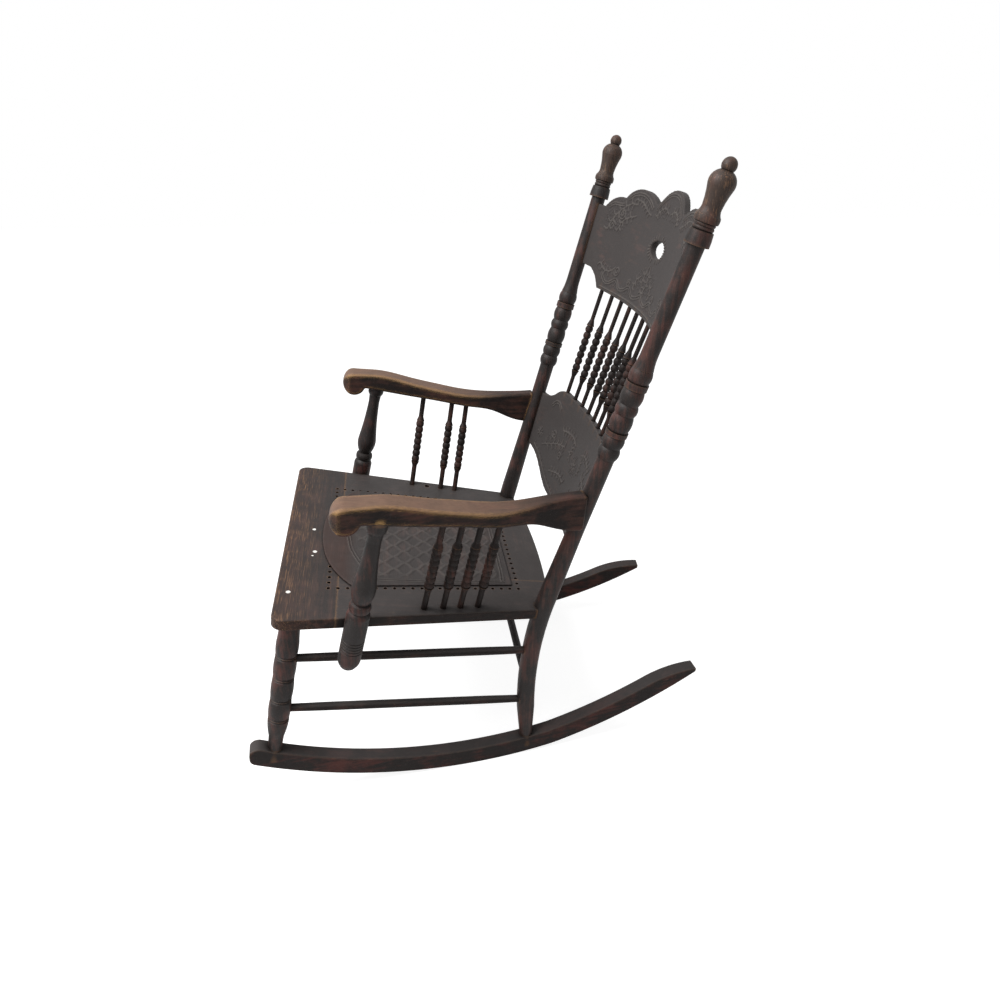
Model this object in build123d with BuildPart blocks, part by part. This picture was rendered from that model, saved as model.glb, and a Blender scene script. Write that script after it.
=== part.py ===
from build123d import *
from math import asin, atan2, cos, degrees, radians, sin, sqrt, tan
import os

# A pressed-back rocking chair. Millimetres; X across the chair (+X is the sitter's left), Y from front
# to back, Z up. The pieces are laid out in the joiner's frame, in which the lowest point of the rockers
# lies at Z = 0 under the centre of their arc. At the end the whole chair rolls back on its rockers
# until it balances, and the origin moves to the floor under the middle of its box.

# ---- rockers; distances run along the rocker, from the middle of the seat --------------------------
ROCKER_RADIUS = 833.2            # underside, from the centre of its main arc
ROCKER_DEPTH = 34.4              # underside to top edge
ROCKER_THICKNESS = 25.4
ROCKER_OUT = 229.7               # chair's middle to the middle of a rocker, under the middle of the seat
ROCKER_SPLAY = 6.1               # degrees, the two rockers draw together towards the back
ROCKER_ARC = 66.0                # centre of the main arc
ROCKER_NOSE = -276.0
ROCKER_NOSE_ROUND = 14.0
ROCKER_HEEL = 259.6              # behind the back posts, where the tail turns up
ROCKER_HEEL_TURN = 4.1           # degrees
ROCKER_HEEL_ROUND = 250.0
ROCKER_TAIL_RADIUS = 917.5
ROCKER_TAIL = 528.0
ROCKER_TAIL_TAPER = 88.0         # length over which the tail's top runs down to its tip
ROCKER_TAIL_TIP = 5.0            # thickness left at the tip
ROCKER_EDGE = 1.0                # softened edges

# ---- front legs; rises run up the leg's axis from the rocker's top edge ------------------------------
FRONT_FOOT_PLACE = -235.3        # along the rocker
LEG_FRONT_INSET = 28.0           # seat's front edge to the top of the leg's axis
LEG_SIDE_INSET = 35.0            # seat's side edge to the top of the leg's axis
FOOT_CLEARANCE = 0.4             # a foot is this much smaller than the flat of the rocker's edge
LEG_ANKLE_RADIUS = 12.5
LEG_RADIUS = 17.2                # at the rings; the barrels between them swell a little more
LEG_BARREL_SWELL = 0.9
LEG_TOP_RADIUS = 15.0
LEG_ANKLE_RISE = 26.0            # end of the plain ankle
LEG_RING_RISES = (62.0, 100.0, 141.0, 182.0)
LEG_SHOULDER_RISE = 214.0        # end of the uppermost barrel
RING_WIDTH = 8.0                 # two grooves with a ridge between them
RING_CUT = 1.7
FOOT_TENON_RADIUS = 8.0
FOOT_TENON_LENGTH = 24.0
TOP_TENON_RADIUS = 9.0
TOP_TENON_LENGTH = 11.0

# ---- back posts -----------------------------------------------------------------------------------
BACK_FOOT_PLACE = 207.8          # along the rocker
BACK_POST_SPLAY = 3.8            # degrees, the posts open outwards above the knee
BACK_LEAN = 11.67                # degrees, above the knee
BACK_KNEE_X = 190.6
BACK_KNEE_Y = 190.9
BACK_KNEE_DROP = 112.5           # seat's top down to where the leg's line and the leaning line cross
KNEE_RADIUS = 750.0
POST_LEG_RADIUS = 16.0
POST_FOOT_SWELL = 0.2
POST_SEAT_RADIUS = 13.5          # from the arm to the turned part
POST_SEAT_TAPER = 140.0
POST_BLADE_RADIUS = 12.5         # beside the crest
COLLAR_RISE = 584.7              # seat's top to the underside of the collar
COLLAR_RADIUS = 17.5
COLLAR_TAPER = 1.5               # smaller by this at its upper edge
COLLAR_SWELL = 0.4
COLLAR_HEIGHT = 18.0
COLLAR_GROOVES = 2
COLLAR_GROOVE_PITCH = 5.0
COLLAR_GROOVE_STEP = 1.0         # height of the slope down into a groove
COLLAR_GROOVE_RADIUS = 14.2
COLLAR_GROOVE_CUT = 0.8          # deeper by this at its lower edge
FINIAL_LIP_RADIUS = 16.7
FINIAL_LIP_HEIGHT = 8.0
FINIAL_LIP_SWELL = 0.5
FINIAL_NECK_RADIUS = 13.0
FINIAL_NECK_RISE = 10.0          # lip to neck
FINIAL_NECK_HOLLOW = 1.0
FINIAL_BELLY_RADIUS = 17.6
FINIAL_BELLY_RISE = 26.0         # neck to belly
FINIAL_BELLY_HOLLOW = 0.8
FINIAL_TIP_RADIUS = 8.0
FINIAL_TIP_RISE = 18.0           # belly to the waist under the ball
FINIAL_SHOULDER_SWELL = 3.6
FINIAL_BALL_RADIUS = 10.0
FINIAL_BALL_FLAT = 0.5           # radius of the small flat on its crown
TURNED_FALL = 175.0              # collar down to the top of the turned part
TURNED_FLARE = 22.0
TURNED_FLARE_RADIUS = 15.0
TURNED_FLARE_HOLLOW = 0.6
TURNED_RADIUS = 17.0
TURNED_GROOVE_RADIUS = 14.4
TURNED_MEMBERS = (19.0, 20.0, 7.0, 27.0, 17.0, 24.4, 9.6, 21.0)   # heights of the members, upwards
TURNED_RING = 12.0               # members shorter than this are flat rings, the others are beads

# ---- bowed back: crest rail, lower panel and spindles; heights count from the collar's underside ---
BOW_RADIUS = 545.0               # front face of both panels
CREST_BOW = 48.5                 # middle of the crest's front face behind the posts' line
PANEL_BOW = 42.0
CREST_THICKNESS = 11.5
PANEL_THICKNESS = 12.0
BACK_TENON_SHORT = 3.0           # the panels' tenons stop this far from the posts' axes
CREST_TOP = 53.0
CREST_LOBE = (44.0, 35.0)        # end of the middle lobe's round part
CREST_NOTCH = (60.0, 22.5)
CREST_WING = ((84.0, 33.0), (115.0, 38.0), (146.0, 29.5))   # the side lobes
CREST_DIP = (160.0, 15.4)
CREST_EAR = (187.0, 10.5)        # crown of the small lobe beside the post
CREST_EAR_END = 207.0
CREST_END_TOP = -9.0
CREST_END_BOTTOM = -115.5
CREST_SKIRT = -143.5
CREST_SKIRT_X = 159.0
CREST_COVE = 35.0                # width of the cove beside the skirt
CREST_ARCH = 3.0                 # rise of the lower edge at the middle
FINGER_HOLE_DROP = 39.0          # centre below the collar's underside
FINGER_HOLE_WIDTH = 58.0
FINGER_HOLE_HEIGHT = 27.0
PANEL_TOP = -341.0
PANEL_TOP_X = 133.0              # half width of the level top edge
PANEL_SHOULDER = (28.0, 18.0)    # width and fall of the round shoulder beside it
PANEL_SCOOP = (38.0, 15.0)       # width and fall of the scoop that runs out into the narrow end
PANEL_SHOULDER_SWELL = 3.0
PANEL_SCOOP_HOLLOW = 3.5
PANEL_END_HEIGHT = 109.0
PANEL_END_FLAT = 15.0            # level stretch under the end
PANEL_HIP = ((154.0, 12.0), (113.0, 38.0))   # half width and fall below the end where the edge swings down
PANEL_BELLY = (72.0, 50.0)
PANEL_BELLY_FALL = 55.0          # at the middle
SPINDLE_COUNT = 9
SPINDLE_PITCH_TOP = 36.6
SPINDLE_PITCH_BOTTOM = 33.2
SPINDLE_ROD_RADIUS = 3.7
SPINDLE_BEAD_RADIUS = 7.2
SPINDLE_GROOVE_RADIUS = 4.6
SPINDLE_BEADS = 7
SPINDLE_BEAD_PITCH = 12.4
SPINDLE_FLARE = 12.0
SPINDLE_ROW_DROP = 11.0          # middle of the beads below the middle of the spindle
SPINDLE_SOCKET = 12.0            # depth of the sockets in crest and panel

# ---- seat; distances on the seat's own plane --------------------------------------------------------
SEAT_Z = 345.1                   # top surface over the origin of the joiner's frame
SEAT_TILT = 4.3                  # degrees, lower at the back
SEAT_THICKNESS = 19.0
SEAT_FRONT = -225.5
SEAT_BACK = 236.5
SEAT_BACK_CORNER = 222.0
SEAT_HALF_FRONT = 263.0
SEAT_HALF_BACK = 206.0
SEAT_CORNER_ROUND = 18.0
SEAT_BACK_ROUND = 8.0            # the corners inside the back posts
SEAT_TOP_ROUND = 3.0
SEAT_BOTTOM_ROUND = 2.0
FRONT_RAIL_WIDTH = 96.0
OPENING_BACK = 161.0
OPENING_HALF = 124.0
CANE_HOLE_RADIUS = 2.8
CANE_HOLE_PITCH = 15.5
CANE_ROW_INSET = 15.0            # opening's front and back edges to the rows of cane holes
CANE_HALF_FRONT = 171.5
CANE_HALF_BACK = 150.0
SEAT_PANEL_THICKNESS = 3.0
SEAT_PANEL_FRONT = -163.0
SEAT_PANEL_CHEEK = (104.0, -146.0)
SEAT_PANEL_SHOULDER = (165.0, -107.0)
SEAT_PANEL_BACK = (142.5, 166.0)

# ---- arms -----------------------------------------------------------------------------------------
ARM_RISE = 199.5                 # seat's top to the top of the arm at its waist
ARM_END_Y = 248.0
ARM_SCROLL_RADIUS = 22.0
ARM_SCROLL_Y = -111.0
ARM_SCROLL_RISE = 4.0            # centre of the scroll above the waist's top
ARM_SCROLL_THROAT = -90.0        # where the underside runs into the scroll
ARM_TOP_LINE = ((-55, 26), (0, 16), (60, 6), (120, 0), (180, 5.5), (ARM_END_Y, 13))
ARM_UNDER_LINE = ((ARM_END_Y, -47), (197, -40.5), (165, -29), (120, -25), (60, -18), (0, -12.5), (-70, -5))
ARM_OUTER_LINE = ((-120, 296), (-60, 286.5), (60, 271), (120, 260), (180, 241), (ARM_END_Y, 232))
ARM_INNER_LINE = ((ARM_END_Y, 205), (180, 210), (120, 217.6), (60, 225.5), (-60, 245.6), (-120, 250))
ARM_TOP_END_SLOPE = 0.1          # how steeply the top still climbs at the back
ARM_NOSE_BOW = 1.0
ARM_ROUND = 5.0                  # rounded edges
ARM_ROUND_FROM = 20.0            # edges shorter than this stay sharp

# ---- arm posts and arm spindles -------------------------------------------------------------------
ARM_POST_SEAT_Y = -98.0          # the post's axis at the seat's top surface
ARM_POST_ARM_Y = -66.0           # and under the arm
ARM_POST_ARM_OUT = 10.0          # top further out than at the seat
ARM_POST_NOTCH = 3.0             # depth of the hollow in the seat's edge that takes the post
ARM_POST_DROP = 88.0             # below the seat's top surface
ARM_POST_RADIUS = 18.2
ARM_POST_GROOVES = 5
ARM_POST_GROOVE_PITCH = 5.6
ARM_POST_GROOVE_CUT = 1.3
ARM_POST_GROOVE_FALL = 50.0      # lowest groove below the seat's top surface
ARM_POST_TIP_RADIUS = 5.0        # small flat under the rounded foot
ARM_POST_TOE_RISE = 6.0
ARM_POST_TOE_RADIUS = 14.2
ARM_POST_TOE_SWELL = 2.2
ARM_POST_FOOT_RISE = 18.0        # the foot has its full radius from here
ARM_POST_FOOT_SWELL = 1.0
ARM_POST_GROOVE_HALF = 1.0
ARM_POST_SHOULDER_RISE = 20.0    # this and the rises below count from the seat's top surface
ARM_POST_THROAT_RISE = 28.0
ARM_POST_THROAT_RADIUS = 14.0
ARM_POST_THROAT_SWELL = 0.8
ARM_POST_RING_RISES = (29.0, 42.0)
ARM_POST_RING_RADIUS = 15.6
ARM_POST_RING_SWELL = 1.4
ARM_POST_WAIST_RISE = 44.0
ARM_POST_WAIST_RADIUS = 12.0
ARM_POST_BELLY_RISE = 78.0
ARM_POST_BELLY_RADIUS = 17.8
ARM_POST_BELLY_SWELL = 3.0
ARM_POST_NECK_LENGTH = 14.0
ARM_POST_NECK_RADIUS = 10.8
ARM_POST_NECK_FLARE = 1.0
ARM_POST_NECK_HOLLOW = 1.2
ARM_POST_CAP_RADIUS = 15.3
ARM_POST_CAP_HEIGHT = 18.0
ARM_POST_CAP_ROUND = 10.0        # height of the cap's rounded lower part
ARM_POST_CAP_SWELL = 1.2
ARM_SPINDLES_AT_SEAT = (8.0, 39.5, 68.0, 97.5)
ARM_SPINDLES_AT_ARM = (29.0, 58.0, 87.0, 116.0)
ARM_SPINDLE_INSET = 18.0         # seat edge to the spindle's axis
ARM_SPINDLE_ROD_RADIUS = 4.9
ARM_SPINDLE_BEAD_RADIUS = 8.1
ARM_SPINDLE_GROOVE_RADIUS = 6.3
ARM_SPINDLE_BEADS = 7
ARM_SPINDLE_BEAD_PITCH = 12.4
ARM_SPINDLE_FLARE = 9.0
ARM_SPINDLE_ROW_DROP = 1.0
ARM_SPINDLE_SOCKET = 9.0
LOST_SPINDLE = 2                 # the right side's second spindle is gone; its sockets stand empty

# ---- rungs; rises run up the axes of the leg and of the back post from the rocker's top edge ---------
SIDE_RUNGS_AT_LEG = (175.4, 79.4)
SIDE_RUNGS_AT_POST = (188.0, 79.0)
FRONT_RUNGS_AT_LEG = (120.0, 48.0)
BACK_RUNG_AT_POST = 116.0
RUNG_RADIUS = 7.1
RUNG_END_RADIUS = 6.4
RUNG_SWELL = 0.3
RUNG_SHORT = 7.2                 # each tenon stops this far from its leg's axis


# ---- places ---------------------------------------------------------------------------------------
def slope(angle):
    """Rise over run of an angle in degrees."""
    return tan(radians(angle))


def rocker_height(place, inset):
    """Height at a place along the rocker of the curve that runs this far inside its underside."""
    return ROCKER_RADIUS - sqrt((ROCKER_RADIUS - inset) ** 2 - (place - ROCKER_ARC) ** 2)


LEAN = radians(BACK_LEAN)
TILT = radians(SEAT_TILT)
SPLAY = radians(ROCKER_SPLAY)
COLLAR_Z = SEAT_Z + COLLAR_RISE
ARM_Z = SEAT_Z + ARM_RISE
ROCKER_SIDE = Plane(origin=(ROCKER_OUT, 0, 0), x_dir=(-sin(SPLAY), cos(SPLAY), 0),
                    z_dir=(cos(SPLAY), sin(SPLAY), 0))
SIDE = Plane(origin=(0, 0, 0), x_dir=(0, 1, 0), z_dir=(1, 0, 0))
SEAT = Plane(origin=(0, 0, SEAT_Z), x_dir=(1, 0, 0), z_dir=(0, sin(TILT), cos(TILT)))
KNEE = Vector(BACK_KNEE_X, BACK_KNEE_Y, SEAT_Z - BACK_KNEE_DROP)


def rocker_top(place):
    """A point on the middle of the left rocker's top edge."""
    return ROCKER_SIDE.from_local_coords(Vector(place, rocker_height(place, ROCKER_DEPTH)))


def back_post_at(z):
    """A point on the left back post's axis above its knee."""
    climb = z - KNEE.Z
    return KNEE + Vector(climb * slope(BACK_POST_SPLAY), climb * slope(BACK_LEAN), climb)


COLLAR = back_post_at(COLLAR_Z)
SEAT_AXIS = Axis(SEAT.origin, SEAT.z_dir)
BACK = Plane(origin=(0, COLLAR.Y, COLLAR.Z), x_dir=(1, 0, 0), z_dir=(0, -cos(LEAN), sin(LEAN)))
BOW = Plane(origin=BACK.origin, x_dir=(1, 0, 0), z_dir=(0, -sin(LEAN), -cos(LEAN)))
SEAT_JOINT = SEAT_FRONT + FRONT_RAIL_WIDTH


def seat_point(x, y, rise=0.0):
    """A point given on the seat's own plane."""
    return SEAT.from_local_coords(Vector(x, y, rise))


def seat_edge(y):
    """Half width of the seat at a distance on its plane."""
    share = (y - SEAT_FRONT) / (SEAT_BACK_CORNER - SEAT_FRONT)
    return SEAT_HALF_FRONT + share * (SEAT_HALF_BACK - SEAT_HALF_FRONT)


def back_point(x, rise, bow, thickness):
    """A point in the middle of a board of this thickness, bowed this deep."""
    depth = bow - BOW_RADIUS + sqrt(BOW_RADIUS ** 2 - x ** 2)
    return BACK.from_local_coords(Vector(x, rise, -depth - thickness / 2))


def post_x(rise):
    """The left post's axis on the plane of the back."""
    return back_post_at(COLLAR_Z + rise * cos(LEAN)).X


def line_at(points, y):
    """Height or half width at y of a line drawn through these points."""
    (before, low), (after, high) = [pair for pair in zip(points, points[1:]) if between(pair, y)][0]
    return low + (high - low) * (y - before) / (after - before)


def between(pair, y):
    """Whether y lies between two points of a line."""
    return min(pair[0][0], pair[1][0]) <= y <= max(pair[0][0], pair[1][0])


# ---- axes of the legs and of the bent back posts ------------------------------------------------------
FRONT_FOOT = rocker_top(FRONT_FOOT_PLACE)
LEG_TOP_Y = SEAT_FRONT + LEG_FRONT_INSET
FRONT_LEG_TOP = seat_point(seat_edge(LEG_TOP_Y) - LEG_SIDE_INSET, LEG_TOP_Y, -SEAT_THICKNESS)
FRONT_LEG_DIR = (FRONT_LEG_TOP - FRONT_FOOT).normalized()
BACK_FOOT = rocker_top(BACK_FOOT_PLACE)
BACK_LEG_DIR = (KNEE - BACK_FOOT).normalized()
BACK_POST_DIR = (COLLAR - KNEE).normalized()
KNEE_REACH = KNEE_RADIUS * tan(radians(BACK_LEG_DIR.get_angle(BACK_POST_DIR)) / 2)
BEND_START = KNEE - BACK_LEG_DIR * KNEE_REACH
BEND_END = KNEE + BACK_POST_DIR * KNEE_REACH
FOOT_SUNK = ROCKER_DEPTH / 4
FLAT_FOOT = ROCKER_THICKNESS / 2 - ROCKER_EDGE - FOOT_CLEARANCE
with BuildLine() as post_axis:
    Line(BACK_FOOT, BEND_START)
    knee_bend = TangentArc(BEND_START, BEND_END, tangent=BACK_LEG_DIR)


def on_front_leg(rise):
    """A point on the left front leg's axis, this far up from the rocker."""
    return FRONT_FOOT + FRONT_LEG_DIR * rise


def on_back_post(rise):
    """A point on the left back post's bent axis, this far up from the rocker."""
    return post_axis.wire().position_at(rise, position_mode=PositionMode.LENGTH)


# ---- turning --------------------------------------------------------------------------------------
def turned(foot, head, stations):
    """Turn a bar about the line from foot to head.

    Each station is a height, a radius and the swell of the run that leads up to it.
    """
    along = (head - foot).normalized()
    across = Plane(origin=foot, z_dir=along).x_dir
    bottom, top = stations[0], stations[-1]
    with BuildPart() as bar:
        with BuildSketch(Plane(origin=foot, x_dir=across, z_dir=across.cross(along))):
            with BuildLine():
                Line((0, bottom[0]), (bottom[1], bottom[0]))
                for (low, low_radius, _), (high, high_radius, swell) in zip(stations, stations[1:]):
                    if swell:
                        SagittaArc((low_radius, low), (high_radius, high), -swell)
                    else:
                        Line((low_radius, low), (high_radius, high))
                Polyline((top[1], top[0]), (0, top[0]), (0, bottom[0]))
            make_face()
        revolve(axis=Axis(foot, along))
    return bar.part


def plain_rod(start, end, radius):
    """A plain round rod."""
    return turned(start, end, [(0, radius, 0), ((end - start).length, radius, 0)])


def spindle(low, high, socket, rod, crown, groove, count, pitch, flare, drop):
    """A rod with a row of beads between two flares; it runs on into a socket at each end."""
    along = (high - low).normalized()
    foot, head = low - along * socket, high + along * socket
    length = (head - foot).length
    start = length / 2 - drop - count * pitch / 2
    end = start + count * pitch
    stations = [(0, rod, 0), (start - flare, rod, 0), (start, crown, 0), (start, groove, 0)]
    stations += [(start + pitch * (bead + 1), groove, crown - groove) for bead in range(count)]
    stations += [(end, crown, 0), (end + flare, rod, 0), (length, rod, 0)]
    return turned(foot, head, stations)


def double_ring(rise, radius):
    """Stations of two grooves with a ridge between them."""
    half = RING_WIDTH / 2
    floor = radius - RING_CUT
    return [(rise - half, radius, LEG_BARREL_SWELL), (rise - half / 2, floor, 0), (rise, radius, 0),
            (rise + half / 2, floor, 0), (rise + half, radius, 0)]


def right_hand(left_piece):
    """The right-hand twin of a left-hand piece."""
    with BuildPart() as twin:
        add(left_piece)
        mirror(about=Plane.YZ, mode=Mode.REPLACE)
    return twin.part


def right_of(point):
    """The same point on the chair's right side."""
    return Vector(-point.X, point.Y, point.Z)


def fitted(piece, cutters, tenons=()):
    """A piece cut to fit what it meets, with its tenons added."""
    with BuildPart() as fit:
        add(piece)
        for cutter in cutters:
            add(cutter, mode=Mode.SUBTRACT)
        for tenon in tenons:
            add(tenon)
    return fit.part


# ---- rockers --------------------------------------------------------------------------------------
def across_rocker(angle):
    """The direction from underside to top edge, on a rocker's side, where the curve has climbed this far."""
    return Vector(-sin(angle), cos(angle))


def make_rocker():
    """The left rocker: an arc of board with a rounded nose and a tail that runs out to a thin tip."""
    heel = asin((ROCKER_HEEL - ROCKER_ARC) / ROCKER_RADIUS)
    turn = radians(ROCKER_HEEL_TURN)
    heel_low = Vector(ROCKER_HEEL, rocker_height(ROCKER_HEEL, 0))
    heel_high = heel_low + across_rocker(heel + turn / 2) * (ROCKER_DEPTH / cos(turn / 2))
    tail_centre = heel_low + across_rocker(heel + turn) * ROCKER_TAIL_RADIUS

    def main(place, inset):
        return (place, rocker_height(place, inset))

    def tail(place, inset):
        fall = sqrt((ROCKER_TAIL_RADIUS - inset) ** 2 - (place - tail_centre.X) ** 2)
        return (place, tail_centre.Y - fall)

    tip_low, tip_high = tail(ROCKER_TAIL, 0), tail(ROCKER_TAIL, ROCKER_TAIL_TIP)
    taper_start = ROCKER_TAIL - ROCKER_TAIL_TAPER
    taper_middle = tail(ROCKER_TAIL - ROCKER_TAIL_TAPER / 3, (ROCKER_DEPTH + ROCKER_TAIL_TIP) / 2)
    tail_middle = (ROCKER_HEEL + taper_start) / 2
    with BuildPart() as rocker:
        with BuildSketch(ROCKER_SIDE.offset(-ROCKER_THICKNESS / 2)) as profile:
            with BuildLine():
                ThreePointArc(main(ROCKER_NOSE, 0), main(ROCKER_ARC, 0), heel_low)
                ThreePointArc(heel_low, tail(tail_middle, 0), tip_low)
                Line(tip_low, tip_high)
                ThreePointArc(tip_high, taper_middle, tail(taper_start, ROCKER_DEPTH))
                ThreePointArc(tail(taper_start, ROCKER_DEPTH), tail(tail_middle, ROCKER_DEPTH), heel_high)
                ThreePointArc(heel_high, main(ROCKER_ARC, ROCKER_DEPTH), main(ROCKER_NOSE, ROCKER_DEPTH))
                Line(main(ROCKER_NOSE, ROCKER_DEPTH), main(ROCKER_NOSE, 0))
            make_face()
            fillet(profile.vertices().sort_by(Axis.X)[:2], ROCKER_NOSE_ROUND)
            fillet([profile.vertices().sort_by_distance(corner)[0] for corner in (heel_low, heel_high)],
                   ROCKER_HEEL_ROUND)
        extrude(amount=ROCKER_THICKNESS)
        across = Axis(ROCKER_SIDE.origin, ROCKER_SIDE.z_dir)
        chamfer(rocker.faces().filter_by(across).edges(), ROCKER_EDGE)
    return rocker.part


# ---- front legs -----------------------------------------------------------------------------------
def make_front_leg():
    """The left front leg's turning, long enough to be cut to the rocker and to the seat."""
    foot = FRONT_FOOT - FRONT_LEG_DIR * FOOT_SUNK
    length = (FRONT_LEG_TOP - foot).length
    stations = [(0, FLAT_FOOT, 0), (FOOT_SUNK, FLAT_FOOT, 0)]
    stations += [(FOOT_SUNK + LEG_ANKLE_RISE, LEG_ANKLE_RADIUS, 0)]
    for rise in LEG_RING_RISES:
        stations += double_ring(FOOT_SUNK + rise, LEG_RADIUS)
    stations += [(FOOT_SUNK + LEG_SHOULDER_RISE, LEG_RADIUS, LEG_BARREL_SWELL), (length, LEG_TOP_RADIUS, 0)]
    return turned(foot, FRONT_LEG_TOP, stations + [(length + TOP_TENON_LENGTH / 2, LEG_TOP_RADIUS, 0)])


# ---- back posts -----------------------------------------------------------------------------------
def turned_part(start):
    """Stations of the turned part: beads and flat rings between grooves, then a flare."""
    stations = [(start, TURNED_GROOVE_RADIUS, 0)]
    for member in TURNED_MEMBERS:
        low = stations[-1][0]
        high = low + member
        if member < TURNED_RING:
            stations += [(low, TURNED_RADIUS, 0), (high, TURNED_RADIUS, 0), (high, TURNED_GROOVE_RADIUS, 0)]
        else:
            stations += [(high, TURNED_GROOVE_RADIUS, TURNED_RADIUS - TURNED_GROOVE_RADIUS)]
    end = stations[-1][0]
    flare_top = (end + TURNED_FLARE, POST_BLADE_RADIUS, -TURNED_FLARE_HOLLOW)
    return stations + [(end, TURNED_FLARE_RADIUS, 0), flare_top]


def ball_swell(rise, run):
    """Swell of a stretch of the finial's ball with this rise and run."""
    return FINIAL_BALL_RADIUS - sqrt(FINIAL_BALL_RADIUS ** 2 - (rise ** 2 + run ** 2) / 4)


def finial(base):
    """Stations of the collar and the finial, which ends in a ball."""
    stations = [(base, POST_BLADE_RADIUS, 0), (base, COLLAR_RADIUS, 0)]
    rise = base + COLLAR_HEIGHT
    stations += [(rise, COLLAR_RADIUS - COLLAR_TAPER, COLLAR_SWELL)]
    for _ in range(COLLAR_GROOVES):
        stations += [(rise + COLLAR_GROOVE_STEP, COLLAR_GROOVE_RADIUS - COLLAR_GROOVE_CUT, 0)]
        rise += COLLAR_GROOVE_PITCH
        stations += [(rise, COLLAR_GROOVE_RADIUS, COLLAR_GROOVE_CUT)]
    lip = rise + COLLAR_GROOVE_STEP
    neck = lip + FINIAL_LIP_HEIGHT + FINIAL_NECK_RISE
    belly = neck + FINIAL_BELLY_RISE
    waist = belly + FINIAL_TIP_RISE
    ball_rise = sqrt(FINIAL_BALL_RADIUS ** 2 - FINIAL_TIP_RADIUS ** 2)
    lower_swell = ball_swell(ball_rise, FINIAL_BALL_RADIUS - FINIAL_TIP_RADIUS)
    upper_swell = ball_swell(FINIAL_BALL_RADIUS, FINIAL_BALL_RADIUS - FINIAL_BALL_FLAT)
    crown = waist + ball_rise + FINIAL_BALL_RADIUS
    stations += [(lip, FINIAL_LIP_RADIUS, 0), (lip + FINIAL_LIP_HEIGHT, FINIAL_LIP_RADIUS, FINIAL_LIP_SWELL)]
    stations += [(neck, FINIAL_NECK_RADIUS, -FINIAL_NECK_HOLLOW)]
    stations += [(belly, FINIAL_BELLY_RADIUS, -FINIAL_BELLY_HOLLOW)]
    stations += [(waist, FINIAL_TIP_RADIUS, FINIAL_SHOULDER_SWELL)]
    stations += [(waist + ball_rise, FINIAL_BALL_RADIUS, lower_swell)]
    return stations + [(crown, FINIAL_BALL_FLAT, upper_swell)]


def make_back_post():
    """The left back post: a leg, a bent knee, a turned stretch and a finial."""
    foot = BACK_FOOT - BACK_LEG_DIR * FOOT_SUNK
    bend = (BEND_START - foot).length
    collar = (COLLAR - BEND_END).length
    turning = turned_part(collar - TURNED_FALL - sum(TURNED_MEMBERS))
    lower = [(0, FLAT_FOOT, 0), (FOOT_SUNK, FLAT_FOOT, 0), (bend, POST_LEG_RADIUS, POST_FOOT_SWELL)]
    upper = [(0, POST_LEG_RADIUS, 0), (POST_SEAT_TAPER, POST_SEAT_RADIUS, 0)]
    upper += [(turning[0][0], POST_SEAT_RADIUS, 0)]
    with BuildPart() as post:
        with BuildSketch(Plane(origin=BEND_START, z_dir=BACK_LEG_DIR)):
            Circle(POST_LEG_RADIUS)
        sweep(path=knee_bend)
        add(turned(foot, BEND_START, lower))
        add(turned(BEND_END, COLLAR, upper + turning + finial(collar)))
    return post.part


# ---- bowed back -----------------------------------------------------------------------------------
def bowed_board(outline, bow, thickness):
    """A board of this thickness, bowed this deep and cut to an outline."""
    with BuildPart() as board:
        with BuildSketch(BACK.offset(bow)):
            add(outline)
        extrude(amount=-3 * bow)
        with BuildSketch(BOW) as bend:
            with Locations((0, BOW_RADIUS - bow)):
                Circle(BOW_RADIUS + thickness)
                Circle(BOW_RADIUS, mode=Mode.SUBTRACT)
        extrude(bend.sketch, amount=COLLAR_RISE, both=True, mode=Mode.INTERSECT)
    return board.part


def crest_outline():
    """The crest rail's outline: three round lobes and two small ears above, a skirt below."""
    end_top = (post_x(CREST_END_TOP) - BACK_TENON_SHORT, CREST_END_TOP)
    end_low = (post_x(CREST_END_BOTTOM) - BACK_TENON_SHORT, CREST_END_BOTTOM)
    ear_end = (CREST_EAR_END, CREST_END_TOP)
    cove = (CREST_SKIRT_X + CREST_COVE, CREST_END_BOTTOM)
    cove_middle = (CREST_SKIRT_X + CREST_COVE / 2, (2 * CREST_END_BOTTOM + CREST_SKIRT) / 3)
    skirt = (CREST_SKIRT_X, CREST_SKIRT)
    with BuildSketch() as outline:
        with BuildLine() as half:
            TangentArc((0, CREST_TOP), CREST_LOBE, tangent=(1, 0))
            TangentArc(CREST_LOBE, CREST_NOTCH, tangent=half.line % 1)
            Spline(CREST_NOTCH, *CREST_WING, CREST_DIP)
            ThreePointArc(CREST_DIP, CREST_EAR, ear_end)
            Polyline(ear_end, end_top, end_low, cove)
            ThreePointArc(cove, cove_middle, skirt)
            TangentArc((0, CREST_SKIRT + CREST_ARCH), skirt, tangent=(1, 0))
            mirror(about=Plane.YZ)
        make_face()
        with Locations((0, -FINGER_HOLE_DROP)):
            Ellipse(FINGER_HOLE_WIDTH / 2, FINGER_HOLE_HEIGHT / 2, mode=Mode.SUBTRACT)
    return outline.sketch


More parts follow.
